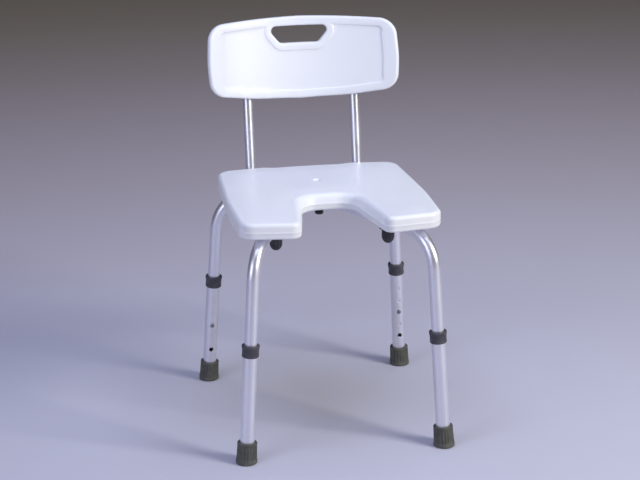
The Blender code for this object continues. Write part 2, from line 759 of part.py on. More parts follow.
def make_backrest(joint):
    """A curved panel with a raised rim round its front and a hand slot near its top."""
    outline = backrest_outline()
    deep = BACK_THICKNESS
    rim = rim_widths(outline)
    edge = [([w + 0.0030 for w in rim], 0.0016), (rim, 0.0)]
    round_off = [(0.0035, 0.0), (0.0010, 0.0010), (0.0, 0.0035)]
    round_off += [(0.0, deep - 0.0035), (0.0010, deep - 0.0010), (0.0035, deep)]
    edge += [([inset] * len(outline), depth) for inset, depth in round_off]
    rings = []
    for insets, depth in edge:
        flat = shift_outline(outline, insets)
        rings.append([Vector((p.x, p.y, depth)) for p in flat])
    builder = loft_mesh(rings, [BACK_CUT_PITCH * k for k in range(-7, 8)])
    bmesh.ops.triangulate(builder, faces=builder.faces)
    for vertex in builder.verts:
        vertex.co = lay_on_back(vertex.co)
    mesh = finish_mesh("backrest_panel", builder)
    panel = place_part("backrest_panel", mesh, "white_plastic", None, joint)
    cut_slot(panel)
    for side in SIDES:
        add_post_channel(panel, side)


def cut_slot(panel):
    half = [
        Vector((0.0, SLOT_BOTTOM, 0.0)),
        Vector((SLOT_BOTTOM_HALF, SLOT_BOTTOM, 0.0)),
        Vector((SLOT_TOP_HALF, SLOT_TOP, 0.0)),
        Vector((0.0, SLOT_TOP, 0.0)),
    ]
    slot = mirror_half(fillet(half, [0.012, 0.0085], 3))
    middle = BACK_Y + RECLINE * (SLOT_TOP - BACK_MID_Z)
    rings = []
    for widen, depth in ((0.0060, -0.012), (0.0, 0.004), (0.0, 0.030)):
        ring = shift_outline(slot, [-widen] * len(slot))
        rings.append([Vector((p.x, middle + depth, p.y)) for p in ring])
    mesh = finish_mesh("slot_cutter", loft_mesh(rings))
    boolean(panel, place_tool("slot_cutter", mesh))


def add_post_channel(panel, side):
    """A moulded rib on the back that cradles a post and takes its two screws."""
    low = post_point(side, RIB_Z[0])
    high = post_point(side, RIB_Z[1])
    outward = Vector((SIDES[side] * POST_X / BACK_CURVE_R, 1.0, -RECLINE))
    square = (outward - POST_AXIS * outward.dot(POST_AXIS)).normalized()
    centre = (low + high) / 2.0 - square * RIB_FRONT / 2.0
    label = f"post_rib_{side}"
    mesh = box_mesh(label, (RIB_WIDTH, RIB_FRONT, (high - low).length))
    boolean(panel, place_tool(label, mesh, frame_matrix(centre, POST_AXIS, square)), "UNION")
    start = post_point(side, 0.530)
    cut_hole(panel, f"post_channel_{side}", POST_R + FIT, start, POST_AXIS, 0.20, TUBE_SIDES)
    for level, height in SCREW_Z.items():
        spot = post_point(side, height) - REARWARD * 0.015
        cut_hole(panel, f"screw_pilot_{side}_{level}", SCREW_R + FIT, spot, REARWARD, 0.020)


POST_AXIS = Vector((0.0, RECLINE, 1.0)).normalized()
REARWARD = Vector((0.0, 1.0, -RECLINE)).normalized()

clear_scene()
parts = make_collection("shower_chair")
tools = make_collection("shower_chair_tools")
make_seat()
sweeps = {end: make_sweep(end) for end in ENDS}
backrest_lift = place_joint("backrest_lift", Vector((0.0, POST_Y_AT_SEAT, POST_Z_AT_SEAT)))
for end_name in ENDS:
    make_frame_tube(end_name)
    for side_name in SIDES:
        make_leg(end_name, side_name)
        make_knob(end_name, side_name)
for side_name in SIDES:
    make_saddle(side_name, sweeps["front"])
    make_socket(side_name, sweeps["rear"])
    make_post_screw(side_name)
    make_post(side_name, backrest_lift)
make_centre_cap()
make_backrest(backrest_lift)
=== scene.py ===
"""The looks of a height-adjustable shower chair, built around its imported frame."""
import json
from math import cos, pi, radians, sin, tan

import bmesh
import bpy
import numpy as np
from mathutils import Matrix, Vector
from mathutils.geometry import delaunay_2d_cdt


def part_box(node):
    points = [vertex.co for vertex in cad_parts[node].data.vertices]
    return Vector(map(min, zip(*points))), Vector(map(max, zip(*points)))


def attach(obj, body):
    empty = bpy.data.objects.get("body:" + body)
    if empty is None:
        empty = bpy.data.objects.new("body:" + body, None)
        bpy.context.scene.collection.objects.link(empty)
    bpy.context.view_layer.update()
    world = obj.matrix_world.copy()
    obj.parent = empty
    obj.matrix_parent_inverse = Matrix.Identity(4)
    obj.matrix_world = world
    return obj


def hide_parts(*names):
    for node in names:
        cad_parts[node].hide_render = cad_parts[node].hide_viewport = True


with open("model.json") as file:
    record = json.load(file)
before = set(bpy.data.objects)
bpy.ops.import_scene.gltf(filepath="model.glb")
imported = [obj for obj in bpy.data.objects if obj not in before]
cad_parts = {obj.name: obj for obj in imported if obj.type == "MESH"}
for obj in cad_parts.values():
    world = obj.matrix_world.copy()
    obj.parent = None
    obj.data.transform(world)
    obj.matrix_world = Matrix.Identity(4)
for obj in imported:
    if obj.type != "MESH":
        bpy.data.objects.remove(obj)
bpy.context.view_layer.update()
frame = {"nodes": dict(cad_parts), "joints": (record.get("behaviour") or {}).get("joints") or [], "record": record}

RECORD = frame["record"]
JOINTS = {joint["name"]: joint for joint in frame["joints"]}
SOLES = {mount["name"]: Vector(mount["pos_m"]) for mount in RECORD["mounts"]}
BODY_OF = {node: body for body, nodes in RECORD["behaviour"]["bodies"].items() for node in nodes}
SIDES = {"left": -1.0, "right": 1.0}
ENDS = ("front", "rear")
UP = Vector((0.0, 0.0, 1.0))
FIT = 0.0003  # clearance between pieces that touch
MERGE = 0.000002  # points closer than this become one
SHARP = 38.0  # degrees between faces, from which an edge is shaded sharp
SEAT_SHARP = 45.0
CHAMFER = 0.0006

# Every length is in metres, in the frame that all the CAD nodes share.

# Camera
CAMERA_AIM = Vector((-0.0449, -0.21, 0.4017))
CAMERA_AZIMUTH = radians(-11.118)
CAMERA_ELEVATION = radians(18.406)
CAMERA_ROLL = radians(-0.21)
CAMERA_DISTANCE = 3.1386
CAMERA_LENS = 103.0
SENSOR_WIDTH = 36.0

# Tubes
FRAME_R = 0.0111
LEG_R = 0.0127
POST_R = 0.0095
WALL = 0.0013
FRAME_START = 0.082
LEG_START = 0.0126
LEG_END = 0.214
BEND_R = {"front": 0.062, "rear": 0.084}
LOOP_R = {"front": 0.05, "rear": 0.08}
LOOP_CORNER = {"front": (0.0367, 0.026), "rear": (0.062, 0.1355)}
TUBE_SIDES = 56
BEND_STEPS = 14
HOLE_PITCH = 0.0254
FIRST_HOLE = 0.0673
HOLE_COUNT = 5
SHOWN_HOLE = 2  # the hole, counted from the lowest, that holds the button
BUTTON_R = 0.0038
STUD_R = 0.003

# Seat
SEAT_LOW, SEAT_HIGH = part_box("seat_panel")
SEAT_UNDER = SEAT_LOW.z
SEAT_THICKNESS = SEAT_HIGH.z - SEAT_LOW.z
SEAT_HALF = SEAT_HIGH.x + 0.0008
SEAT_FRONT = -0.2035
CUTOUT_BACK = -0.047
CUTOUT_FLARE = 0.008
SEAT_FOOT_R = 0.0045
SEAT_EDGE_R = 0.0072
SEAT_FALL = 0.0011  # how far the top runs down toward its rounded edge
SEAT_FALL_RUN = 0.034
SEAT_SEAM = SEAT_THICKNESS * 0.4  # height of the moulding seam on its wall
SEAM_RISE = 0.00028
DRAIN_Y = 0.046
DRAIN_R = 0.0035
DRAIN_DISH_R = 0.0078
DRAIN_LIP = 0.0012
DRAIN_DEPTH = 0.004
FRAME_Z = SEAT_UNDER - FIT - FRAME_R  # level of the frame tubes' axes under the seat

# Back
BACK_LOW, BACK_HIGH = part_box("backrest_panel")
BACK_TOP = BACK_HIGH.z
BACK_BOTTOM = BACK_LOW.z
BACK_MID_Z = 0.642
BACK_Y = 0.2135
BACK_CURVE_R = 0.295
BACK_THICKNESS = 0.011
RECLINE = 0.207
RIM_EDGE = 0.0135  # width of the raised rim along the top and the bottom
RIM_SIDE = 0.024  # width of the raised rim at the two sides
STEP_WIDTH = 0.003
FIELD_DEPTH = 0.0016
BACK_EDGE_R = 0.0042
SLOT_TOP = 0.685
SLOT_BOTTOM = 0.653
SLOT_TOP_HALF = 0.062
SLOT_BOTTOM_HALF = 0.036
SLOT_LIP_R = 0.0036
SURROUND_WIDTH = 0.0115
POST_X = JOINTS["post_screw_turn_right"]["pos_m"][0]
POST_Y_AT_SEAT = 0.1727
POST_Z_AT_SEAT = 0.42
POST_FOOT_Z = 0.379
SLEEVE_TOP_Z = 0.411
POST_TOP_Z = 0.692
RIB_WIDTH = 0.027
RIB_FRONT = 0.0137
RIB_Z = (0.58, 0.69)
SCREW_Z = {"lower": 0.602, "upper": 0.67}
SCREW_R = 0.0021
DOME_STEPS = 7
POST_AXIS = Vector((0.0, RECLINE, 1.0)).normalized()
REARWARD = Vector((0.0, 1.0, -RECLINE)).normalized()


# ---- mesh helpers


def add_object(name, data):
    item = bpy.data.objects.new(name, data)
    bpy.context.scene.collection.objects.link(item)
    return item


def smooth(mesh, sharp=SHARP):
    """Smooth shading, apart from edges sharper than the angle."""
    mesh.shade_smooth()
    mesh.set_sharp_from_angle(angle=radians(sharp))
    return mesh


def to_mesh(builder, matrix=None, sharp=SHARP):
    """Finish a bmesh: outward faces, smooth shading with sharp corners, placed in the frame."""
    bmesh.ops.remove_doubles(builder, verts=builder.verts, dist=MERGE)
    bmesh.ops.recalc_face_normals(builder, faces=builder.faces)
    if builder.calc_volume(signed=True) < 0.0:
        bmesh.ops.reverse_faces(builder, faces=builder.faces)
    mesh = bpy.data.meshes.new("work_mesh")
    builder.to_mesh(mesh)
    builder.free()
    if matrix is not None:
        mesh.transform(matrix)
    return smooth(mesh, sharp)


def axis_matrix(origin, axis, facing=None):
    """Local z along an axis and local y toward a facing direction."""
    if facing is None:
        helper = Vector((0.0, 1.0, 0.0)) if abs(axis.y) < 0.8 else Vector((1.0, 0.0, 0.0))
        facing = (helper - axis * helper.dot(axis)).normalized()
    matrix = Matrix((facing.cross(axis), facing, axis)).transposed().to_4x4()
    matrix.translation = origin
    return matrix


def full_turn(sides, shift=0.0):
    """Even angles round a full turn, the first one a share of a step in."""
    return [2.0 * pi * (k + shift) / sides for k in range(sides)]


def quarter_turn(steps):
    """Even angles from 0 to 90 degrees, with both ends."""
    return [0.5 * pi * k / steps for k in range(steps + 1)]


def ramp(value):
    """The value held between 0 and 1."""
    return min(1.0, max(0.0, value))


def skin_rings(builder, rings, closed=False):
    """Faces between a run of rings of points, each ring closed on itself."""
    rows = [[builder.verts.new(point) for point in ring] for ring in rings]
    pairs = list(zip(rows, rows[1:]))
    if closed:
        pairs.append((rows[-1], rows[0]))
    count = len(rows[0])
    for lower, upper in pairs:
        for k in range(count):
            nxt = (k + 1) % count
            builder.faces.new((lower[k], lower[nxt], upper[nxt], upper[k]))
    return rows


def close_ends(builder, rows):
    for row in (rows[0], rows[-1]):
        builder.faces.new(row)


def arc(centre, radius, start, end, steps):
    """(x, y) points along an arc, with angles in degrees."""
    points = []
    for k in range(steps + 1):
        turn = radians(start + (end - start) * k / steps)
        points.append((centre[0] + radius * cos(turn), centre[1] + radius * sin(turn)))
    return points


def turned(profile, sides, matrix, ring=False, shape=None, sharp=SHARP):
    """Turn a (radius, height) profile, closed by flat ends or as a ring; shape may move each point."""
    builder = bmesh.new()
    rings = []
    for radius, height in profile:
        points = []
        for turn in full_turn(sides):
            far, high = shape(turn, radius, height) if shape else (radius, height)
            points.append((far * cos(turn), far * sin(turn), high))
        rings.append(points)
    rows = skin_rings(builder, rings, closed=ring)
    if not ring:
        close_ends(builder, rows)
    return to_mesh(builder, matrix, sharp)


def fillet(points, radii, steps):
    """Round the inner corners of an open polyline with arcs of the given radii."""
    path = [points[0]]
    for before, corner, after, radius in zip(points, points[1:], points[2:], radii):
        inward = (corner - before).normalized()
        outward = (after - corner).normalized()
        turn = inward.angle(outward)
        start = corner - inward * radius * tan(turn / 2.0)
        side = (outward - inward * cos(turn)).normalized()
        centre = start + side * radius
        for k in range(steps + 1):
            swing = turn * k / steps
            path.append(centre - side * radius * cos(swing) + inward * radius * sin(swing))
    path.append(points[-1])
    return path


def spaced(path, pitch):
    """Split the long stretches of a path into even steps, each less than two pitches long."""
    made = [path[0]]
    for start, end in zip(path, path[1:]):
        count = max(1, int((end - start).length / pitch))
        made += [start.lerp(end, (k + 1) / count) for k in range(count)]
    return made


def carried_sides(path):
    """Two square directions across a path at each of its points, carried along without twist."""
    last = len(path) - 1
    runs = [path[min(k + 1, last)] - path[max(k - 1, 0)] for k in range(len(path))]
    side = axis_matrix(path[0], runs[0].normalized()).col[0].to_3d()
    carried = []
    for run in runs:
        tangent = run.normalized()
        side = (side - tangent * side.dot(tangent)).normalized()
        carried.append((side, tangent.cross(side)))
    return carried


def ring_round(point, sides_at, radius, turns):
    side, across = sides_at
    return [point + (side * cos(t) + across * sin(t)) * radius for t in turns]


def tube_mesh(path, radius, sides=TUBE_SIDES):
    """A hollow tube along a path, with softened ends and its own lengthwise grain coordinates."""
    soft = 0.0004
    start = path[0] + (path[1] - path[0]).normalized() * soft
    end = path[-1] + (path[-2] - path[-1]).normalized() * soft
    walk = [(path[0], radius - soft), (start, radius)]
    walk += [(point, radius) for point in path[1:-1]]
    walk += [(end, radius), (path[-1], radius - soft)]
    walk += [(point, radius - WALL) for point in reversed(path)]
    steps = range(len(path))
    index = [0, *steps, len(path) - 1, *reversed(steps)]
    lengths = [0.0]
    for before, after in zip(path, path[1:]):
        lengths.append(lengths[-1] + (after - before).length)
    turns = full_turn(sides)
    carried = carried_sides(path)
    builder = bmesh.new()
    grain = builder.verts.layers.float_vector.new("grain")
    rings = [ring_round(point, carried[k], far, turns) for (point, far), k in zip(walk, index)]
    rows = skin_rings(builder, rings, closed=True)
    for row, k in zip(rows, index):
        for turn, vertex in zip(turns, row):
            vertex[grain] = (radius * cos(turn), radius * sin(turn), lengths[k])
    return to_mesh(builder)


def solid_sweep(path, radius):
    """A solid bar along a path, used to cut the channel that holds a tube."""
    builder = bmesh.new()
    turns = full_turn(TUBE_SIDES, 0.5)
    rings = [ring_round(point, at, radius, turns) for point, at in zip(path, carried_sides(path))]
    close_ends(builder, skin_rings(builder, rings))
    return to_mesh(builder)


def drill(radius, start, end, matrix, sides=40):
    """A Boolean step that drills a round hole along the matrix's own z axis."""
    return ("DIFFERENCE", turned([(radius, start), (radius, end)], sides, matrix))


def rounded_box(size, radius, matrix, steps):
    """A block with all its edges rounded."""
    builder = bmesh.new()
    bmesh.ops.create_cube(builder, size=1.0, matrix=Matrix.Diagonal((*size, 1.0)))
    bmesh.ops.bevel(builder, geom=builder.edges[:], offset=radius, segments=steps, affect="EDGES",
                    profile=0.5)
    return to_mesh(builder, matrix)


def combine(mesh, tools, sharp=SHARP):
    """Apply a run of (operation, mesh) Booleans and give back the finished mesh."""
    piece = add_object("work_piece", mesh)
    helpers = []
    for operation, tool_mesh in tools:
        tool = add_object("work_tool", tool_mesh)
        modifier = piece.modifiers.new("cut", "BOOLEAN")
        modifier.operation = operation
        modifier.object = tool
        modifier.solver = "EXACT"
        helpers.append(tool)
    graph = bpy.context.evaluated_depsgraph_get()
    made = bpy.data.meshes.new_from_object(piece.evaluated_get(graph))
    for helper in [piece, *helpers]:
        bpy.data.objects.remove(helper, do_unlink=True)
    return smooth(made, sharp)


# ---- outlines and sheets


def round_foot(radius, turns):
    """(inset, height) points round the lower edge of a wall."""
    return [(radius * (1.0 - sin(t)), radius * (1.0 - cos(t))) for t in turns]


def round_top(radius, top, turns):
    """(inset, height) points round the upper edge of a wall."""
    return [(radius * (1.0 - cos(t)), top - radius * (1.0 - sin(t))) for t in turns]


def mirror_half(half):
    """Complete an outline whose right half runs from x = 0 round to x = 0."""
    return half + [Vector((-p.x, p.y)) for p in half[-2:0:-1]]


def shift_outline(outline, distances):
    """Move each point of an anticlockwise outline inward, by one distance or by one for each point."""
    if isinstance(distances, float):
        distances = [distances] * len(outline)
    moved = []
    for k, point in enumerate(outline):
        before = (point - outline[k - 1]).normalized()
        after = (outline[(k + 1) % len(outline)] - point).normalized()
        along = (before + after).normalized()
        moved.append(point + Vector((-along.y, along.x)) * distances[k])
    return moved


def distance_to(points, loop):
    """The distance from each point to a closed polyline."""
    start = np.array([tuple(p) for p in loop])
    run = np.roll(start, -1, axis=0) - start
    reach = points[:, None, :] - start[None]
    share = np.clip((reach * run).sum(2) / (run * run).sum(1), 0.0, 1.0)
    gap = reach - share[..., None] * run
    return np.sqrt((gap * gap).sum(2)).min(1)


def is_inside(points, loop):
    """Whether each point is inside a closed polyline, by counting crossings to its right."""
    level = 1e-12  # stands for the rise of a level edge, which no crossing uses
    start = np.array([tuple(p) for p in loop])
    end = np.roll(start, -1, axis=0)
    x, y = points[:, 0][:, None], points[:, 1][:, None]
    spans = (start[:, 1] > y) != (end[:, 1] > y)
    rise = np.where(end[:, 1] == start[:, 1], level, end[:, 1] - start[:, 1])
    cross = start[:, 0] + (y - start[:, 1]) / rise * (end[:, 0] - start[:, 0])
    return (spans & (x < cross)).sum(1) % 2 == 1


def smooth_step(values):
    """An eased rise from 0 to 1 as the values go from 0 to 1."""
    share = np.clip(values, 0.0, 1.0)
    return share * share * (3.0 - 2.0 * share)


def add_sheet(builder, rim, holes, guides, pitch, place):
    """Fill the region inside a rim and outside its holes with triangles that follow the guides.

    place(points) gives the finished position of each flat point.
    """
    clear = pitch * 0.35  # grid points nearer than this to a loop are left out
    precision = 1e-7
    loops = [rim, *holes, *guides]
    points, edges = [], []
    for loop in loops:
        first = len(points)
        points += [Vector((p.x, p.y)) for p in loop]
        edges += [(first + k, first + (k + 1) % len(loop)) for k in range(len(loop))]
    border = np.array([tuple(p) for p in rim])
    low, high = border.min(0), border.max(0)
    across = np.arange(low[0] + pitch / 2.0, high[0], pitch)
    along = np.arange(low[1] + pitch / 2.0, high[1], pitch)
    grid = np.array([(x, y) for y in along for x in across])
    grid = grid[is_inside(grid, rim)]
    for loop in holes:
        grid = grid[~is_inside(grid, loop)]
    for loop in loops:
        grid = grid[distance_to(grid, loop) > clear]
    points += [Vector(p) for p in grid]
    flat, _, faces = delaunay_2d_cdt(points, edges, [], 0, precision)[:3]
    spots = np.array([tuple(p) for p in flat])
    centres = np.array([spots[list(face)].mean(0) for face in faces])
    keep = is_inside(centres, rim)
    for loop in holes:
        keep &= ~is_inside(centres, loop)
    vertices = [builder.verts.new(p) for p in place(spots)]
    for face, kept in zip(faces, keep):
        if kept:
            builder.faces.new([vertices[k] for k in face])
    loose = [v for v in vertices if not v.link_faces]
    bmesh.ops.delete(builder, geom=loose, context="VERTS")


def circle_loop(centre, radius, sides=36):
    x, y = centre
    return [Vector((x + radius * cos(t), y + radius * sin(t))) for t in full_turn(sides)]


# ---- materials


class Shader:
    """A small builder for a Principled material made of procedural nodes."""

    def __init__(self, name, colour, roughness, metallic=0.0):
        self.material = bpy.data.materials.new(name)
        self.material.use_nodes = True
        self.material.diffuse_color = (*colour, 1.0)
        self.nodes = self.material.node_tree.nodes
        self.links = self.material.node_tree.links
        self.surface = self.nodes["Principled BSDF"]
        self.surface.inputs["Base Color"].default_value = (*colour, 1.0)
        self.surface.inputs["Roughness"].default_value = roughness
        self.surface.inputs["Metallic"].default_value = metallic
        self.colour = None
        self.height = None

    def set(self, name, value):
        self.surface.inputs[name].default_value = value

    def node(self, kind, **inputs):
        """A new node, with its inputs set to numbers or linked to other nodes' outputs."""
        node = self.nodes.new(f"ShaderNode{kind}")
        for name, value in inputs.items():
            socket = node.inputs[name.replace("_", " ")]
            if isinstance(value, bpy.types.NodeSocket):
                self.links.new(value, socket)
            else:
                socket.default_value = value
        return node

    def place(self, scale=(1.0, 1.0, 1.0), attribute=None):
        """Coordinates in metres, from the object or from a named attribute."""
        if attribute:
            source = self.node("Attribute")
            source.attribute_name = attribute
        else:
            source = self.node("TexCoord")
        where = source.outputs["Vector" if attribute else "Object"]
        return self.node("Mapping", Scale=scale, Vector=where).outputs["Vector"]

    def noise(self, scale, detail=2.0, rough=0.5, where=None, distortion=0.0):
        node = self.node("TexNoise", Scale=scale, Detail=detail, Roughness=rough,
                         Distortion=distortion, Vector=where or self.place())
        return node.outputs["Fac"]

    def cells(self, scale):
        return self.node("TexVoronoi", Scale=scale, Vector=self.place()).outputs["Distance"]

    def remap(self, value, low, high, to_low=0.0, to_high=1.0):
        """Ease a value's range onto another range, holding it at both ends."""
        node = self.node("MapRange", Value=value, From_Min=low, From_Max=high, To_Min=to_low,
                         To_Max=to_high)
        node.interpolation_type = "SMOOTHSTEP"
        return node.outputs["Result"]

    def maths(self, operation, first, second):
        """Join two textures by a sum or a product."""
        node = self.node("Math")
        node.operation = operation
        for socket, value in zip(node.inputs, (first, second)):
            self.links.new(value, socket)
        return node.outputs["Value"]

    def coordinate(self, axis):
        """One of the object's own coordinates, in metres."""
        return self.node("SeparateXYZ", Vector=self.place()).outputs[axis]

    def mixer(self, colour, share):
        """A node that lays a colour over its first input, and feeds the surface."""
        node = self.node("Mix")
        node.data_type = "RGBA"
        node.inputs["B"].default_value = (*colour, 1.0)
        self.links.new(share, node.inputs["Factor"])
        self.colour = node.outputs["Result"]
        self.links.new(self.colour, self.surface.inputs["Base Color"])
        return node

    def tint(self, first, second, share):
        """Mix two colours by a texture and give it to the surface."""
        node = self.mixer(second, share)
        node.inputs["A"].default_value = (*first, 1.0)

    def stain(self, colour, share):
        """Lay another colour over what the surface has."""
        below = self.colour
        self.links.new(below, self.mixer(colour, share).inputs["A"])

    def roughen(self, value):
        self.links.new(value, self.surface.inputs["Roughness"])

    def bump(self, value, strength, distance):
        """Add relief on top of any relief that the surface already has."""
        node = self.node("Bump", Strength=strength, Distance=distance, Height=value)
        if self.height is not None:
            self.links.new(self.height, node.inputs["Normal"])
        self.height = node.outputs["Normal"]
        self.links.new(self.height, self.surface.inputs["Normal"])


def white_plastic():
    """Blow-moulded polyethylene: waxy white with a fine blasted grain, soft waves and faint scuffs."""
    shader = Shader("white_plastic", (0.82, 0.83, 0.86), 0.42)
    cloud = shader.remap(shader.noise(5.0, detail=3.0), 0.3, 0.7)
    shader.tint((0.8, 0.812, 0.85), (0.845, 0.852, 0.875), cloud)
    specks = shader.remap(shader.noise(900.0, detail=1.0), 0.7, 0.78, 0.0, 0.18)
    shader.stain((0.62, 0.63, 0.68), specks)
    drawn_out = shader.place((1.0, 0.22, 1.0))
    rub = shader.noise(38.0, detail=6.0, rough=0.68, where=drawn_out, distortion=0.6)
    fine = shader.noise(420.0, detail=3.0, rough=0.6)
    shader.roughen(shader.maths("ADD", shader.remap(rub, 0.42, 0.72, 0.36, 0.5),
                                shader.remap(fine, 0.35, 0.65, -0.03, 0.03)))
    shader.bump(shader.noise(17.0, detail=2.0), 0.22, 0.0016)
    shader.bump(shader.noise(260.0, detail=2.0), 0.14, 0.00035)
    shader.bump(shader.noise(1500.0, detail=3.0, rough=0.65), 0.22, 0.00012)
    shader.set("Subsurface Weight", 0.1)
    shader.set("Subsurface Radius", (0.9, 0.95, 1.0))
    shader.set("Subsurface Scale", 0.0025)
    shader.set("Specular IOR Level", 0.46)
    return shader.material


def anodised_aluminium():
    """Satin anodised tube: pale drawn grain along its length, cloudy sheen and fine sliding marks."""
    shader = Shader("anodised_aluminium", (0.82, 0.82, 0.88), 0.38, 0.86)
    along = shader.place((1.0, 1.0, 0.018), "grain")
    lines = shader.noise(1500.0, detail=3.0, rough=0.7, where=along)
    cloud = shader.noise(16.0, detail=3.0, rough=0.55)
    shader.tint((0.77, 0.765, 0.83), (0.88, 0.875, 0.925), cloud)
    far_along = shader.place((1.0, 1.0, 0.006), "grain")
    streak = shader.noise(620.0, detail=4.0, rough=0.75, where=far_along)
    shader.stain((0.58, 0.58, 0.64), shader.remap(streak, 0.6, 0.8, 0.0, 0.35))
    shader.roughen(shader.maths("ADD", shader.remap(cloud, 0.3, 0.7, 0.32, 0.4),
                                shader.remap(lines, 0.3, 0.7, -0.05, 0.05)))
    shader.bump(lines, 0.16, 0.00006)
    shader.bump(shader.cells(2600.0), 0.06, 0.00004)
    shader.set("Coat Weight", 0.12)
    shader.set("Coat Roughness", 0.3)
    return shader.material


def grey_plastic():
    """Moulded dark grey nylon with a leathery spark grain and paler rubbed patches."""
    shader = Shader("grey_plastic", (0.06, 0.057, 0.072), 0.5)
    cloud = shader.remap(shader.noise(60.0, detail=4.0), 0.35, 0.7)
    shader.tint((0.05, 0.048, 0.062), (0.078, 0.075, 0.09), cloud)
    rub = shader.remap(shader.noise(240.0, detail=5.0, rough=0.7), 0.6, 0.76, 0.0, 0.45)
    shader.stain((0.13, 0.13, 0.15), rub)
    shader.roughen(shader.remap(shader.noise(130.0, detail=4.0), 0.3, 0.7, 0.42, 0.6))
    shader.bump(shader.cells(1500.0), 0.28, 0.00012)
    shader.bump(shader.noise(420.0, detail=2.0), 0.12, 0.0002)
    return shader.material


def black_plastic():
    """Moulded black knob plastic: soft sheen, fine grain, dusty in places."""
    shader = Shader("black_plastic", (0.016, 0.015, 0.021), 0.4)
    cloud = shader.remap(shader.noise(90.0, detail=4.0), 0.35, 0.7)
    shader.tint((0.012, 0.011, 0.017), (0.026, 0.025, 0.033), cloud)
    dust = shader.noise(330.0, detail=5.0, rough=0.7)
    shader.stain((0.07, 0.07, 0.08), shader.remap(dust, 0.62, 0.8, 0.0, 0.4))
    shader.roughen(shader.remap(shader.noise(180.0, detail=3.0), 0.3, 0.7, 0.32, 0.5))
    shader.bump(shader.cells(1700.0), 0.2, 0.0001)
    return shader.material


def grey_rubber():
    """Matt olive-grey rubber with a granular skin, dusty low down where it meets the floor."""
    shader = Shader("grey_rubber", (0.085, 0.085, 0.074), 0.78)
    cloud = shader.remap(shader.noise(70.0, detail=5.0, rough=0.6), 0.32, 0.7)
    shader.tint((0.066, 0.066, 0.058), (0.105, 0.104, 0.09), cloud)
    low = shader.remap(shader.coordinate("Z"), 0.0, 0.012, 1.0, 0.0)
    patches = shader.remap(shader.noise(160.0, detail=5.0, rough=0.7), 0.35, 0.7, 0.0, 0.6)
    shader.stain((0.19, 0.185, 0.18), shader.maths("MULTIPLY", low, patches))
    shader.roughen(shader.remap(shader.noise(300.0, detail=3.0), 0.3, 0.7, 0.68, 0.88))
    shader.bump(shader.noise(1300.0, detail=4.0, rough=0.7), 0.4, 0.00018)
    shader.bump(shader.noise(220.0, detail=3.0), 0.18, 0.0003)
    return shader.material


THREAD_WAVES = 314.0  # this scale of the wave texture gives one thread turn per millimetre


def plated_metal(name, colour, dull, roughness, thread=False):
    """Plated or turned metal with a brushed grain, tarnished patches and, on studs, thread turns."""
    shader = Shader(name, colour, roughness, 1.0)
    cloud = shader.remap(shader.noise(140.0, detail=5.0, rough=0.65), 0.4, 0.75)
    shader.tint(colour, dull, cloud)
    along = shader.place((1.0, 1.0, 0.08))
    brushed = shader.noise(1300.0, detail=3.0, rough=0.7, where=along)
    shader.roughen(shader.maths("ADD", shader.remap(cloud, 0.0, 1.0, roughness, roughness + 0.14),
                                shader.remap(brushed, 0.3, 0.7, -0.05, 0.05)))
    shader.bump(brushed, 0.14, 0.00005)
    if thread:
        wave = shader.node("TexWave", Scale=THREAD_WAVES, Vector=shader.place())
        wave.bands_direction = "Z"
        shader.bump(wave.outputs["Fac"], 0.9, 0.0005)
    return shader.material


def floor_paint():
    """A pale studio floor that turns warmer toward the back."""
    shader = Shader("studio_floor", (0.58, 0.57, 0.66), 0.62)
    depth = shader.coordinate("Y")
    shader.tint((0.58, 0.57, 0.66), (0.65, 0.58, 0.63), shader.remap(depth, 0.2, 2.0))
    shader.stain((0.57, 0.51, 0.43), shader.remap(depth, 1.8, 4.2))
    shader.roughen(shader.remap(shader.noise(9.0, detail=4.0), 0.3, 0.7, 0.58, 0.66))
    shader.bump(shader.noise(240.0, detail=3.0), 0.06, 0.0004)
    shader.set("Specular IOR Level", 0.25)
    return shader.material


ZINC = ((0.66, 0.66, 0.68), (0.48, 0.48, 0.5), 0.26)  # bright, dull and roughness
FINISH = {
    "white_plastic": white_plastic(),
    "anodised_aluminium": anodised_aluminium(),
    "grey_plastic": grey_plastic(),
    "black_plastic": black_plastic(),
    "grey_rubber": grey_rubber(),
    "zinc_steel": plated_metal("zinc_steel", *ZINC),
    "spring_steel": plated_metal("spring_steel", (0.4, 0.39, 0.38), (0.25, 0.24, 0.23), 0.34),
    "brass": plated_metal("brass", (0.72, 0.55, 0.26), (0.48, 0.34, 0.15), 0.28),
}
# A darker, rougher copy of the zinc finish, used for the snap buttons
DARKER_BUTTON_ZINC = plated_metal("darker_button_zinc", (0.3, 0.29, 0.31), (0.17, 0.165, 0.175), 0.38)
THREADED = plated_metal("zinc_thread", *ZINC, thread=True)


# ---- placing pieces


def stand_for(node, mesh, finish):
    """A finished mesh that takes one CAD node's place, on that node's body."""
    piece = add_object(f"{node}_fine", mesh)
    mesh.name = piece.name
    mesh.materials.clear()
    mesh.materials.append(FINISH[finish])
    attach(piece, BODY_OF[node])
    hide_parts(node)
    return piece


KEPT = {
    "tip_washer": "zinc_steel",
    "snap_spring": "spring_steel",
    "knob_stud": "zinc_steel",
    "knob_washer": "zinc_steel",
    "seat_insert": "brass",
}


def keep_node(node, finish):
    """A CAD node whose shape is right keeps it, and gets a better material."""
    item = frame["nodes"][node]
    item.data.materials.clear()
    item.data.materials.append(THREADED if node.startswith("knob_stud") else FINISH[finish])
    smooth(item.data)


# ---- seat


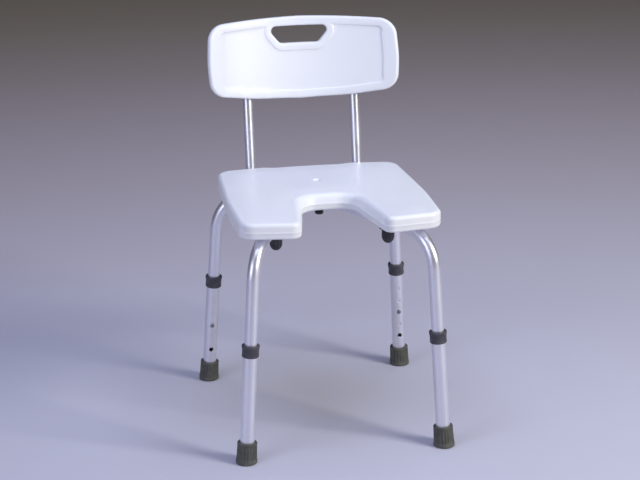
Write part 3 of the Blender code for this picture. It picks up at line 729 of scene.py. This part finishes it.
def seat_outline():
    """Anticlockwise plan of the seat, from the back of the cut-out round to it again."""
    back = SEAT_HIGH.y
    half = [
        (0.0, CUTOUT_BACK), (0.047, CUTOUT_BACK), (0.055, -0.1), (0.0755, SEAT_FRONT),
        (0.179, -0.189), (SEAT_HALF, -0.05), (0.1722, back - 0.015), (0.095, back - 0.0055),
        (0.035, back), (0.0, back),
    ]
    radii = [0.036, 0.1, 0.018, 0.03, 1.0, 0.03, 0.8, 0.6]
    return mirror_half(fillet([Vector(p) for p in half], radii, 12))


def flare_weight(point):
    """1 on the wall of the cut-out, fading to 0 round the front lobes."""
    sideways = ramp((0.084 - abs(point.x)) / 0.02)
    return sideways * ramp((point.y - SEAT_FRONT) / 0.03)


def seat_wall(top):
    """(inset, height) points up the seat's side: a round foot, the seam and a round top edge."""
    turns = quarter_turn(7)
    wall = round_foot(SEAT_FOOT_R, turns)
    wall += [(0.0, SEAT_SEAM - 0.0008), (-SEAM_RISE, SEAT_SEAM - 0.0003)]
    wall += [(-SEAM_RISE, SEAT_SEAM + 0.0003), (0.0, SEAT_SEAM + 0.0008), (0.0001, SEAT_SEAM + 0.004)]
    return wall + round_top(SEAT_EDGE_R, top, turns)


def seat_top(spots, rim, top):
    """The seat's upper skin: crowned, with a dished drain inside a thin lip."""
    rise = smooth_step(distance_to(spots, rim) / SEAT_FALL_RUN) * SEAT_FALL
    far = np.hypot(spots[:, 0], spots[:, 1] - DRAIN_Y)
    share = np.clip((DRAIN_DISH_R - far) / (DRAIN_DISH_R - DRAIN_R), 0.0, 1.0)
    dip = DRAIN_DEPTH * share * (0.45 + 0.55 * share)
    from_lip = np.abs(far - DRAIN_DISH_R - DRAIN_LIP / 2.0) / DRAIN_LIP
    lip = 0.00035 * np.clip(1.0 - from_lip, 0.0, 1.0)
    return [(x, y, top + up - down + edge) for (x, y), up, down, edge in zip(spots, rise, dip, lip)]


def seat_pockets():
    """Blind holes in the underside for the four inserts and the centre screw."""
    mouth = SEAT_UNDER - 0.004
    insert_r, centre_r = 0.0053, 0.0024
    spots = [knob_spot(end, side, mouth) for end in ENDS for side in SIDES]
    cuts = [drill(insert_r, 0.0, 0.021, axis_matrix(spot, UP)) for spot in spots]
    centre = Vector((0.0, LOOP_CORNER["front"][1], mouth))
    return cuts + [drill(centre_r, 0.0, 0.019, axis_matrix(centre, UP))]


def make_seat():
    """A moulded slab: a flared cut-out, a seam, a crowned top and a drain hole through it."""
    outline = seat_outline()
    weights = [flare_weight(p) for p in outline]
    top = SEAT_THICKNESS - SEAT_FALL
    wall = seat_wall(top)

    def ring(inset, height):
        rise = max(0.0, (height - SEAT_FOOT_R) / (top - SEAT_FOOT_R))
        shifts = [inset + CUTOUT_FLARE * rise * rise * w for w in weights]
        return shift_outline(outline, shifts)

    builder = bmesh.new()
    skin_rings(builder, [[(p.x, p.y, height) for p in ring(inset, height)] for inset, height in wall])
    upper = ring(*wall[-1])
    lower = ring(*wall[0])
    drain = (0.0, DRAIN_Y)
    hole = circle_loop(drain, DRAIN_R)
    dish_run = DRAIN_DISH_R - DRAIN_R
    guides = [circle_loop(drain, DRAIN_R + dish_run * k / 5.0) for k in range(1, 6)]
    guides.append(circle_loop(drain, DRAIN_DISH_R + DRAIN_LIP))
    guides += [shift_outline(upper, SEAT_FALL_RUN * share) for share in (0.06, 0.14, 0.24)]
    add_sheet(builder, upper, [hole], guides, 0.008, lambda spots: seat_top(spots, upper, top))
    add_sheet(builder, lower, [hole], [], 0.016, lambda spots: [(x, y, 0.0) for x, y in spots])
    heights = (0.0, SEAT_THICKNESS - DRAIN_DEPTH)
    skin_rings(builder, [[(p.x, p.y, z) for p in hole] for z in heights])
    mesh = to_mesh(builder, Matrix.Translation(UP * SEAT_UNDER), SEAT_SHARP)
    stand_for("seat_panel", combine(mesh, seat_pockets(), SEAT_SHARP), "white_plastic")


def knob_spot(end, side, height):
    """A point on a knob's axis."""
    place = JOINTS[f"knob_turn_{end}_{side}"]["pos_m"]
    return Vector((place[0], place[1], height))


# ---- frame


def leg_frame(end, side):
    """Foot centre, upward axis, and the direction that the adjustment holes face."""
    foot = SOLES[f"sole_{end}_{side}"]
    axis = -Vector(JOINTS[f"leg_slide_{end}_{side}"]["axis"]).normalized()
    facing = -Vector(JOINTS[f"button_press_{end}_{side}"]["axis"]).normalized()
    return foot, axis, facing


def frame_path(end):
    """Up one leg, under the seat, round the loop and down the other leg."""
    foot, axis, _ = leg_frame(end, "left")
    start = foot + axis * (FRAME_START / axis.z)
    shoulder = foot + axis * (FRAME_Z / axis.z)
    corner = LOOP_CORNER[end]
    half = [start, shoulder, Vector((-corner[0], corner[1], FRAME_Z))]
    other = [Vector((-p.x, p.y, p.z)) for p in reversed(half)]
    return fillet(half + other, [BEND_R[end], LOOP_R[end], LOOP_R[end], BEND_R[end]], BEND_STEPS)


def stud_drill(end, side, low, length):
    """A Boolean step that drills the hole for a knob's stud, from a height upward."""
    return drill(STUD_R + FIT, 0.0, length, axis_matrix(knob_spot(end, side, low), UP))


def make_frame_tube(end):
    """A bent tube, drilled for its two snap buttons and its two knob studs."""
    mesh = tube_mesh(spaced(frame_path(end), 0.02), FRAME_R)
    cuts = []
    for side in SIDES:
        _, _, facing = leg_frame(end, side)
        low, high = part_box(f"snap_button_{end}_{side}")
        place = axis_matrix((low + high) / 2.0 - facing * 0.004, facing)
        cuts.append(drill(BUTTON_R + FIT, 0.0, 0.012, place))
        cuts.append(stud_drill(end, side, FRAME_Z - 0.02, 0.04))
    stand_for(f"{end}_frame_tube", combine(mesh, cuts), "anodised_aluminium")


def make_lower_tube(end, side):
    """A straight tube with a row of countersunk adjustment holes."""
    foot, axis, facing = leg_frame(end, side)
    path = spaced([foot + axis * LEG_START, foot + axis * LEG_END], 0.01)
    mesh = tube_mesh(path, LEG_R)
    near, far = BUTTON_R + FIT, BUTTON_R + FIT + 0.0009
    profile = [(near, 0.004), (near, LEG_R - 0.0005), (far, LEG_R + 0.0004), (far, 0.018)]
    cuts = []
    for k in range(HOLE_COUNT):
        place = axis_matrix(foot + axis * (FIRST_HOLE + k * HOLE_PITCH), facing)
        cuts.append(("DIFFERENCE", turned(profile, 40, place)))
    stand_for(f"lower_leg_tube_{end}_{side}", combine(mesh, cuts), "anodised_aluminium")


def make_collar(end, side):
    """The moulded cap on the lower tube: a rolled top flange, a waist and a beaded skirt."""
    foot, axis, _ = leg_frame(end, side)
    low, high = 0.1965, 0.2182
    flange, waist, skirt = 0.0158, 0.0149, 0.0153
    bead, crease = 0.0014, 0.0007  # radii of the rolled edges and of the waist's corners
    guide = FRAME_R + FIT
    sleeve = LEG_R + FIT
    shoulder = LEG_END + FIT
    profile = [(guide, high - CHAMFER), (guide + CHAMFER, high)]
    profile += arc((flange - bead, high - bead), bead, 90, 0, 6)
    profile += arc((flange - crease, high - 0.005), crease, 0, -80, 4)
    profile += arc((waist + crease, high - 0.0066), crease, 100, 180, 4)
    profile += [(waist, low + 0.0054)]
    profile += arc((skirt - bead, low + 0.003), bead, 60, -40, 6)
    profile += [(skirt - CHAMFER, low + CHAMFER), (skirt - 2.0 * CHAMFER, low)]
    profile += [(sleeve, low), (sleeve, shoulder), (guide, shoulder)]
    mesh = turned(profile, 72, axis_matrix(foot, axis), ring=True)
    stand_for(f"leg_collar_{end}_{side}", mesh, "grey_plastic")


def make_tip(end, side):
    """The ribbed rubber tip, with a plain top band, a base ring and a grooved, level sole."""
    foot, axis, _ = leg_frame(end, side)
    place = axis_matrix(foot, axis)
    top, rib_top, rib_low = 0.0385, 0.035, 0.0068
    top_r, base_r, edge_r = 0.0176, 0.0191, 0.0012
    ribs, rib_depth, rib_fade = 20, 0.001, 0.0016
    sole, groove, socket = -0.0004, 0.0009, 0.01
    sleeve = LEG_R + FIT

    def grooved(turn, radius, height):
        if not rib_low < height < rib_top or radius < sleeve + 0.0008:
            return radius, height
        edge = min(1.0, (rib_top - height) / rib_fade, (height - rib_low) / rib_fade)
        dip = (0.5 - 0.5 * cos(ribs * turn)) ** 0.6
        return radius - rib_depth * dip * edge, height

    profile = [(sleeve, top - CHAMFER), (sleeve + CHAMFER, top)]
    profile += arc((top_r - edge_r, top - edge_r), edge_r, 90, 0, 5)
    profile += [(top_r + 0.0001, rib_top + 0.0004)]
    for k in range(13):
        height = rib_top - (rib_top - rib_low) * k / 12.0
        profile.append((top_r + (base_r - CHAMFER - top_r) * (k / 12.0) ** 1.15, height))
    profile += [(base_r, rib_low - 0.0008), (base_r, 0.002)]
    profile += arc((base_r - edge_r, 0.0014), edge_r, 20, -60, 4)
    for radius in (0.017, 0.014, 0.011, 0.008):
        profile += [(radius, sole), (radius - 0.0003, groove)]
        profile += [(radius - 0.0013, groove), (radius - 0.0016, sole)]
    profile += [(0.004, sole), (0.0, sole), (0.0, socket), (sleeve, socket)]
    mesh = turned(profile, ribs * 8, None, ring=True, shape=grooved, sharp=50.0)
    for vertex in mesh.vertices:  # the tip leans with its leg, but its sole stays level
        spot = place @ vertex.co
        level = max(0.0, vertex.co.z - sole)
        share = ramp((0.006 - vertex.co.z) / 0.0045)
        vertex.co = Vector((spot.x, spot.y, spot.z + (level - spot.z) * share))
    stand_for(f"leg_tip_{end}_{side}", mesh, "grey_rubber")


def make_button(end, side):
    """A domed steel pin that stands out through one adjustment hole."""
    foot, axis, facing = leg_frame(end, side)
    centre = foot + axis * (FIRST_HOLE + SHOWN_HOLE * HOLE_PITCH)
    inner, shoulder, dome = 0.007, 0.0128, 0.0018
    profile = [(BUTTON_R * 0.8, inner), (BUTTON_R, inner + 0.0004), (BUTTON_R, shoulder)]
    for turn in quarter_turn(DOME_STEPS)[1:-1]:
        profile.append((BUTTON_R * cos(turn), shoulder + dome * sin(turn)))
    mesh = turned(profile, 40, axis_matrix(centre, facing))
    # the button takes the darker, rougher zinc finish instead of the plain one
    stand_for(f"snap_button_{end}_{side}", mesh, "zinc_steel").data.materials[0] = DARKER_BUTTON_ZINC


# ---- seat fasteners


def make_knob(end, side):
    """A rounded hand knob with shallow flutes round its rim and a bowl-shaped end."""
    low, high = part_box(f"seat_knob_{end}_{side}")
    top, bottom = high.z, low.z
    wide = (high.x - low.x) / 2.0
    bowl = 0.0135
    bore = STUD_R + FIT
    flutes, depth = 12, 0.0008
    edge_r = 0.0014

    def fluted(turn, radius, height):
        share = ramp((top - 0.0026 - height) / 0.0016) * (radius > bore + 0.001)
        share *= ramp((height - bottom - 0.004) / 0.005)
        return radius - depth * share * (0.5 + 0.5 * cos(flutes * turn)) ** 1.5, height

    profile = [(bore, top - 0.0137), (bore, top - 0.0004), (bore + 0.0004, top)]
    profile += arc((wide - edge_r, top - edge_r), edge_r, 90, 0, 5)
    profile += [(wide, top - 0.003), (wide, top - 0.0045), (wide, top - 0.007)]
    for k in range(13):
        turn = 0.5 * pi * 0.93 * k / 12.0
        profile.append((wide * cos(turn), bottom + bowl * (1.0 - sin(turn))))
    profile += [(0.0009, bottom)]
    centre = knob_spot(end, side, 0.0)
    mesh = turned(profile, flutes * 8, Matrix.Translation(centre), shape=fluted)
    stand_for(f"seat_knob_{end}_{side}", mesh, "black_plastic")


def make_centre_cap():
    """The low screw cap that holds the front tube's loop, with a cross recess."""
    low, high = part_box("centre_screw_cap")
    wide = (high.x - low.x) / 2.0
    shank, soft, edge_r = 0.0021, 0.0004, 0.003
    shoulder = FRAME_Z - FRAME_R - FIT
    profile = [(shank - 0.0002, high.z), (shank, high.z - soft), (shank, shoulder)]
    profile += [(wide - soft, shoulder), (wide, shoulder - soft), (wide, low.z + edge_r)]
    profile += arc((wide - edge_r, low.z + edge_r), edge_r, 0, -90, 6)
    place = Matrix.Translation((0.0, LOOP_CORNER["front"][1], 0.0))
    mesh = turned(profile, 64, place)
    cuts = cross_cuts(place @ Vector((0.0, 0.0, low.z)), -UP, 0.0058, 0.0012)
    stand_for("centre_screw_cap", combine(mesh, cuts), "black_plastic")


def cross_cuts(spot, outward, length, depth):
    """Two crossed slots in the head of a screw."""
    cuts = []
    for turn in (0.0, pi / 2.0):
        place = axis_matrix(spot, outward) @ Matrix.Rotation(turn, 4, "Z")
        size = (length, length * 0.17, depth * 2.0)
        cuts.append(("DIFFERENCE", rounded_box(size, 0.0001, place, 1)))
    return cuts


def make_saddle(side, sweep):
    """A moulded rest between the front frame tube and its knob."""
    corner = Vector((*LOOP_CORNER["front"], 0.0))
    foot, axis, _ = leg_frame("front", "right")
    shoulder = foot + axis * (FRAME_Z / axis.z)
    run = Vector((SIDES[side] * (corner.x - shoulder.x), corner.y - shoulder.y, 0.0)).normalized()
    node = f"tube_saddle_{side}"
    low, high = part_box(node)
    place = axis_matrix(knob_spot("front", side, (low.z + high.z) / 2.0), UP, run)
    mesh = rounded_box((0.028, 0.018, high.z - low.z), 0.0016, place, 4)
    cuts = [("DIFFERENCE", sweep.copy()), stud_drill("front", side, low.z - 0.005, 0.03)]
    stand_for(node, combine(mesh, cuts), "grey_plastic")


# ---- the back


def post_point(side, height):
    """The point of a post's axis at a height."""
    shift = RECLINE * (height - POST_Z_AT_SEAT)
    return Vector((SIDES[side] * POST_X, POST_Y_AT_SEAT + shift, height))


def screw_start(side, height):
    """Where the drill for a back screw starts, in front of the post."""
    return axis_matrix(post_point(side, height) - REARWARD * 0.015, REARWARD)


def make_post(side):
    """A straight tube, drilled for its two back screws."""
    path = spaced([post_point(side, POST_FOOT_Z), post_point(side, POST_TOP_Z)], 0.012)
    mesh = tube_mesh(path, POST_R, 48)
    cuts = [drill(SCREW_R + FIT, 0.0, 0.03, screw_start(side, z)) for z in SCREW_Z.values()]
    stand_for(f"back_post_{side}", combine(mesh, cuts), "anodised_aluminium")


def make_post_plug(side):
    """The cap in a post's top end, with three gripping ridges below its head."""
    bore = POST_R - WALL - FIT
    edge_r, grip = 0.0014, 0.0004
    profile = [(0.0022, 0.0027), (POST_R - 0.0022, 0.0026)]
    profile += arc((POST_R - edge_r, 0.0012), edge_r, 80, 0, 5)
    profile += [(POST_R, FIT), (bore, FIT)]
    for k in range(3):
        ridge = -0.0018 - 0.003 * k
        profile += [(bore - grip, ridge + 0.001), (bore, ridge), (bore - grip, ridge - 0.001)]
    profile += [(bore - 0.001, -0.012)]
    mesh = turned(profile, 56, axis_matrix(post_point(side, POST_TOP_Z), POST_AXIS))
    stand_for(f"post_plug_{side}", mesh, "grey_plastic")


def make_back_screws(side):
    """Pan-head screws with a cross recess, through the post into the backrest."""
    seat = POST_R + FIT
    head_r, rim, dome = 0.0044, 0.0008, 0.0017
    profile = [(SCREW_R, -0.0145), (SCREW_R, seat), (head_r - 0.0002, seat), (head_r, seat + 0.0003)]
    for turn in quarter_turn(DOME_STEPS)[:-1]:
        profile.append((head_r * cos(turn), seat + rim + dome * sin(turn)))
    for level, height in SCREW_Z.items():
        spot = post_point(side, height)
        mesh = turned(profile, 40, axis_matrix(spot, REARWARD))
        cuts = cross_cuts(spot + REARWARD * (seat + 0.0026), REARWARD, 0.0046, 0.0012)
        stand_for(f"backrest_screw_{side}_{level}", combine(mesh, cuts), "zinc_steel")


def socket_sleeve(reach):
    """(radius, height) points up the outside of the sleeve that a socket holds its post in."""
    wide, bead = 0.0129, 0.0012
    sleeve = [(wide - 0.0011, -0.0042), (wide, -0.003), (wide, reach - 0.0052)]
    sleeve += arc((wide - bead, reach - 0.004), bead, -70, 0, 3)
    return sleeve + arc((wide - bead, reach - bead), bead, 0, 90, 4)


def make_socket(side, sweep):
    """The moulded socket behind the seat that holds a post and straddles the rear tube."""
    block_top = SEAT_UNDER - 0.0006
    block_low = FRAME_Z - FRAME_R - 0.0035
    front = knob_spot("rear", side, 0.0).y - 0.0145
    back = post_point(side, block_low).y + 0.004
    centre = Vector((SIDES[side] * POST_X, (front + back) / 2.0, (block_low + block_top) / 2.0))
    size = (0.027, back - front, block_top - block_low)
    mesh = rounded_box(size, 0.002, Matrix.Translation(centre), 4)
    foot = axis_matrix(post_point(side, POST_FOOT_Z), POST_AXIS)
    reach = (SLEEVE_TOP_Z - POST_FOOT_Z) / POST_AXIS.z
    screw = axis_matrix(Vector(JOINTS[f"post_screw_turn_{side}"]["pos_m"]), REARWARD)
    tools = [
        ("UNION", turned(socket_sleeve(reach), 64, foot)),
        drill(POST_R + FIT, -FIT, reach + 0.01, foot, 56),
        drill(0.0025, -0.008, 0.004, foot, 32),  # drain
        ("DIFFERENCE", sweep.copy()),
        stud_drill("rear", side, block_low - 0.005, 0.035),
        drill(STUD_R + FIT, 0.0, 0.02, screw),
    ]
    stand_for(f"post_socket_{side}", combine(mesh, tools), "grey_plastic")


def make_post_screw(side):
    """A small lobed hand screw that clamps the post in its socket."""
    wide, shoulder = 0.0105, 0.015
    lobes, depth = 6, 0.0016
    low_r, top_r, soft = 0.0014, 0.0016, 0.0004

    def lobed(turn, radius, height):
        share = ramp((height - shoulder - 0.0006) / 0.0012) * (radius > 0.0075)
        return radius - depth * share * (0.5 + 0.5 * cos(lobes * turn)) ** 1.4, height

    profile = [(STUD_R - soft, POST_R + FIT), (STUD_R, POST_R + FIT + soft)]
    profile += [(STUD_R, shoulder), (wide - 0.0045, shoulder), (wide - 0.0038, shoulder + 0.0008)]
    profile += arc((wide - low_r, shoulder + 0.0024), low_r, -80, 0, 4)
    profile += arc((wide - top_r, shoulder + 0.0089), top_r, 0, 80, 5)
    profile += [(0.0045, shoulder + 0.0104), (0.004, shoulder + 0.0098), (0.0008, shoulder + 0.0098)]
    spot = Vector(JOINTS[f"post_screw_turn_{side}"]["pos_m"])
    mesh = turned(profile, lobes * 12, axis_matrix(spot, REARWARD), shape=lobed)
    stand_for(f"post_screw_{side}", mesh, "black_plastic")


def lay_on_back(x, height, depth):
    """Move a flat point onto the reclined, curved surface of the back."""
    outward = Vector((x / BACK_CURVE_R, 1.0, 0.0)).normalized()
    sag = x * x / (2.0 * BACK_CURVE_R)
    y = BACK_Y + RECLINE * (height - BACK_MID_Z) - sag
    return Vector((x, y, height)) + outward * depth


def flat_outline(half, radii, steps, pitch):
    """A closed outline from its right half, with rounded corners and no long steps."""
    points = spaced(fillet([Vector(p) for p in half], radii, steps), pitch)
    return mirror_half(points)


def back_outline():
    half = [
        (0.0, BACK_BOTTOM), (0.09, BACK_BOTTOM + 0.0045), (0.1745, BACK_BOTTOM + 0.0215),
        (0.1785, BACK_BOTTOM + 0.08), (0.1738, BACK_TOP - 0.003), (0.0, BACK_TOP),
    ]
    return flat_outline(half, [0.4, 0.034, 0.25, 0.03], 14, 0.01)


def slot_outline():
    half = [
        (0.0, SLOT_BOTTOM), (SLOT_BOTTOM_HALF, SLOT_BOTTOM), (SLOT_TOP_HALF, SLOT_TOP),
        (0.0, SLOT_TOP),
    ]
    return flat_outline(half, [0.012, 0.0085], 7, 0.006)


def rim_widths(outline):
    """The rim's width at each point of the outline: wide at the sides, narrow above and below."""
    widths = []
    for k in range(len(outline)):
        along = (outline[(k + 1) % len(outline)] - outline[k - 1]).normalized()
        widths.append(RIM_EDGE + (RIM_SIDE - RIM_EDGE) * along.y * along.y)
    return widths


def post_seat(side):
    """Boolean steps for one side of the back: a rib, a channel for the post and two pilot holes."""
    low, high = (post_point(side, z) for z in RIB_Z)
    outward = Vector((SIDES[side] * POST_X / BACK_CURVE_R, 1.0, -RECLINE))
    square = (outward - POST_AXIS * outward.dot(POST_AXIS)).normalized()
    place = axis_matrix((low + high) / 2.0 - square * RIB_FRONT / 2.0, POST_AXIS, square)
    size = (RIB_WIDTH, RIB_FRONT, (high - low).length)
    below = axis_matrix(post_point(side, 0.53), POST_AXIS)
    steps = [("UNION", rounded_box(size, 0.0022, place, 4))]
    steps.append(drill(POST_R + FIT, 0.0, 0.2, below, 48))
    for height in SCREW_Z.values():
        steps.append(drill(SCREW_R + FIT, 0.0, 0.02, screw_start(side, height), 32))
    return steps


def make_backrest():
    """A curved panel: a rounded rim, a shallow field stepped in from it, and a framed hand slot."""
    outline = back_outline()
    slot = slot_outline()
    deep = BACK_THICKNESS
    turns = quarter_turn(6)
    edge = round_foot(BACK_EDGE_R, turns) + round_top(BACK_EDGE_R, deep, turns)
    lip = round_foot(SLOT_LIP_R, turns) + round_top(0.002, deep, turns)

    def laid(loop, depth):
        return [lay_on_back(p.x, p.y, depth) for p in loop]

    builder = bmesh.new()
    skin_rings(builder, [laid(shift_outline(outline, inset), depth) for inset, depth in edge])
    skin_rings(builder, [laid(shift_outline(slot, -widen), depth) for widen, depth in lip])
    shares = (0.0, 0.2, 0.4, 0.6, 0.8, 1.0)
    widths = rim_widths(outline)
    guides = [shift_outline(outline, [w + STEP_WIDTH * share for w in widths]) for share in shares]
    field = guides[0]
    guides += [shift_outline(slot, -SURROUND_WIDTH - STEP_WIDTH * share) for share in shares]

    def front(spots):
        from_rim = smooth_step(distance_to(spots, field) * is_inside(spots, field) / STEP_WIDTH)
        from_slot = smooth_step((distance_to(spots, slot) - SURROUND_WIDTH) / STEP_WIDTH)
        depth = FIELD_DEPTH * np.minimum(from_rim, from_slot)
        return [lay_on_back(x, height, d) for (x, height), d in zip(spots, depth)]

    def back(spots):
        return [lay_on_back(x, height, deep) for x, height in spots]

    for k, lines, pitch, place in ((0, guides, 0.007, front), (-1, [], 0.009, back)):
        rim = shift_outline(outline, edge[k][0])
        add_sheet(builder, rim, [shift_outline(slot, -lip[k][0])], lines, pitch, place)
    mesh = to_mesh(builder, sharp=SEAT_SHARP)
    steps = [step for side in SIDES for step in post_seat(side)]
    stand_for("backrest_panel", combine(mesh, steps, SEAT_SHARP), "white_plastic")


# ---- the studio


FLOOR_RADIUS = 14.0
CHAIR_MIDDLE = Vector((0.0, -0.05, 0.4))
LIGHTS = {  # place, size, power and colour
    "key_light": ((2.3, -1.9, 1.9), (1.0, 1.4), 82.0, (1.0, 1.0, 0.94)),
    "top_light": ((0.0, -0.2, 2.8), (2.4, 2.0), 45.0, (0.62, 0.69, 1.0)),
    "fill_light": ((-2.4, -1.6, 1.3), (1.6, 1.8), 29.0, (0.73, 0.77, 1.0)),
}
AIR_COLOUR = (0.78, 0.72, 0.7, 1.0)
AIR_STRENGTH = 0.095


def make_floor():
    builder = bmesh.new()
    bmesh.ops.create_circle(builder, cap_ends=True, segments=96, radius=FLOOR_RADIUS)
    mesh = bpy.data.meshes.new("studio_floor")
    builder.to_mesh(mesh)
    builder.free()
    mesh.materials.append(floor_paint())
    add_object("studio_floor", mesh)


def make_light(name, place, size, power, colour):
    """A rectangular lamp that faces the chair."""
    lamp = bpy.data.lights.new(name, "AREA")
    lamp.shape = "RECTANGLE"
    lamp.size, lamp.size_y = size
    lamp.energy = power
    lamp.color = colour
    light = add_object(name, lamp)
    light.location = place
    light.rotation_euler = (CHAIR_MIDDLE - Vector(place)).to_track_quat("-Z", "Y").to_euler()


def make_studio():
    make_floor()
    for name, light in LIGHTS.items():
        make_light(name, *light)
    world = bpy.data.worlds.new("studio_air")
    world.use_nodes = True
    air = world.node_tree.nodes["Background"]
    air.inputs["Color"].default_value = AIR_COLOUR
    air.inputs["Strength"].default_value = AIR_STRENGTH
    bpy.context.scene.world = world
    bpy.context.scene.view_settings.view_transform = "Standard"


def make_camera():
    """A camera that sees the chair as the photo does."""
    across = cos(CAMERA_ELEVATION)
    level = Vector((sin(CAMERA_AZIMUTH), -cos(CAMERA_AZIMUTH), 0.0))
    back = level * across + UP * sin(CAMERA_ELEVATION)
    right = Vector((cos(CAMERA_AZIMUTH), sin(CAMERA_AZIMUTH), 0.0))
    up = back.cross(right)
    rolled = right * cos(CAMERA_ROLL) + up * sin(CAMERA_ROLL)
    lens = bpy.data.cameras.new("camera")
    lens.lens = CAMERA_LENS
    lens.sensor_width = SENSOR_WIDTH
    camera = add_object("camera", lens)
    matrix = Matrix((rolled, back.cross(rolled), back)).transposed().to_4x4()
    matrix.translation = CAMERA_AIM + back * CAMERA_DISTANCE
    camera.matrix_world = matrix
    bpy.context.scene.camera = camera


# ---- the chair

make_camera()
make_studio()
make_seat()
sweeps = {end: solid_sweep(frame_path(end), FRAME_R + FIT) for end in ENDS}
for end_name in ENDS:
    make_frame_tube(end_name)
    for side_name in SIDES:
        for make in (make_lower_tube, make_collar, make_tip, make_button, make_knob):
            make(end_name, side_name)
        for kind, finish_name in KEPT.items():
            keep_node(f"{kind}_{end_name}_{side_name}", finish_name)
for side_name in SIDES:
    make_saddle(side_name, sweeps["front"])
    make_socket(side_name, sweeps["rear"])
    for make in (make_post, make_post_plug, make_post_screw, make_back_screws):
        make(side_name)
make_centre_cap()
make_backrest()
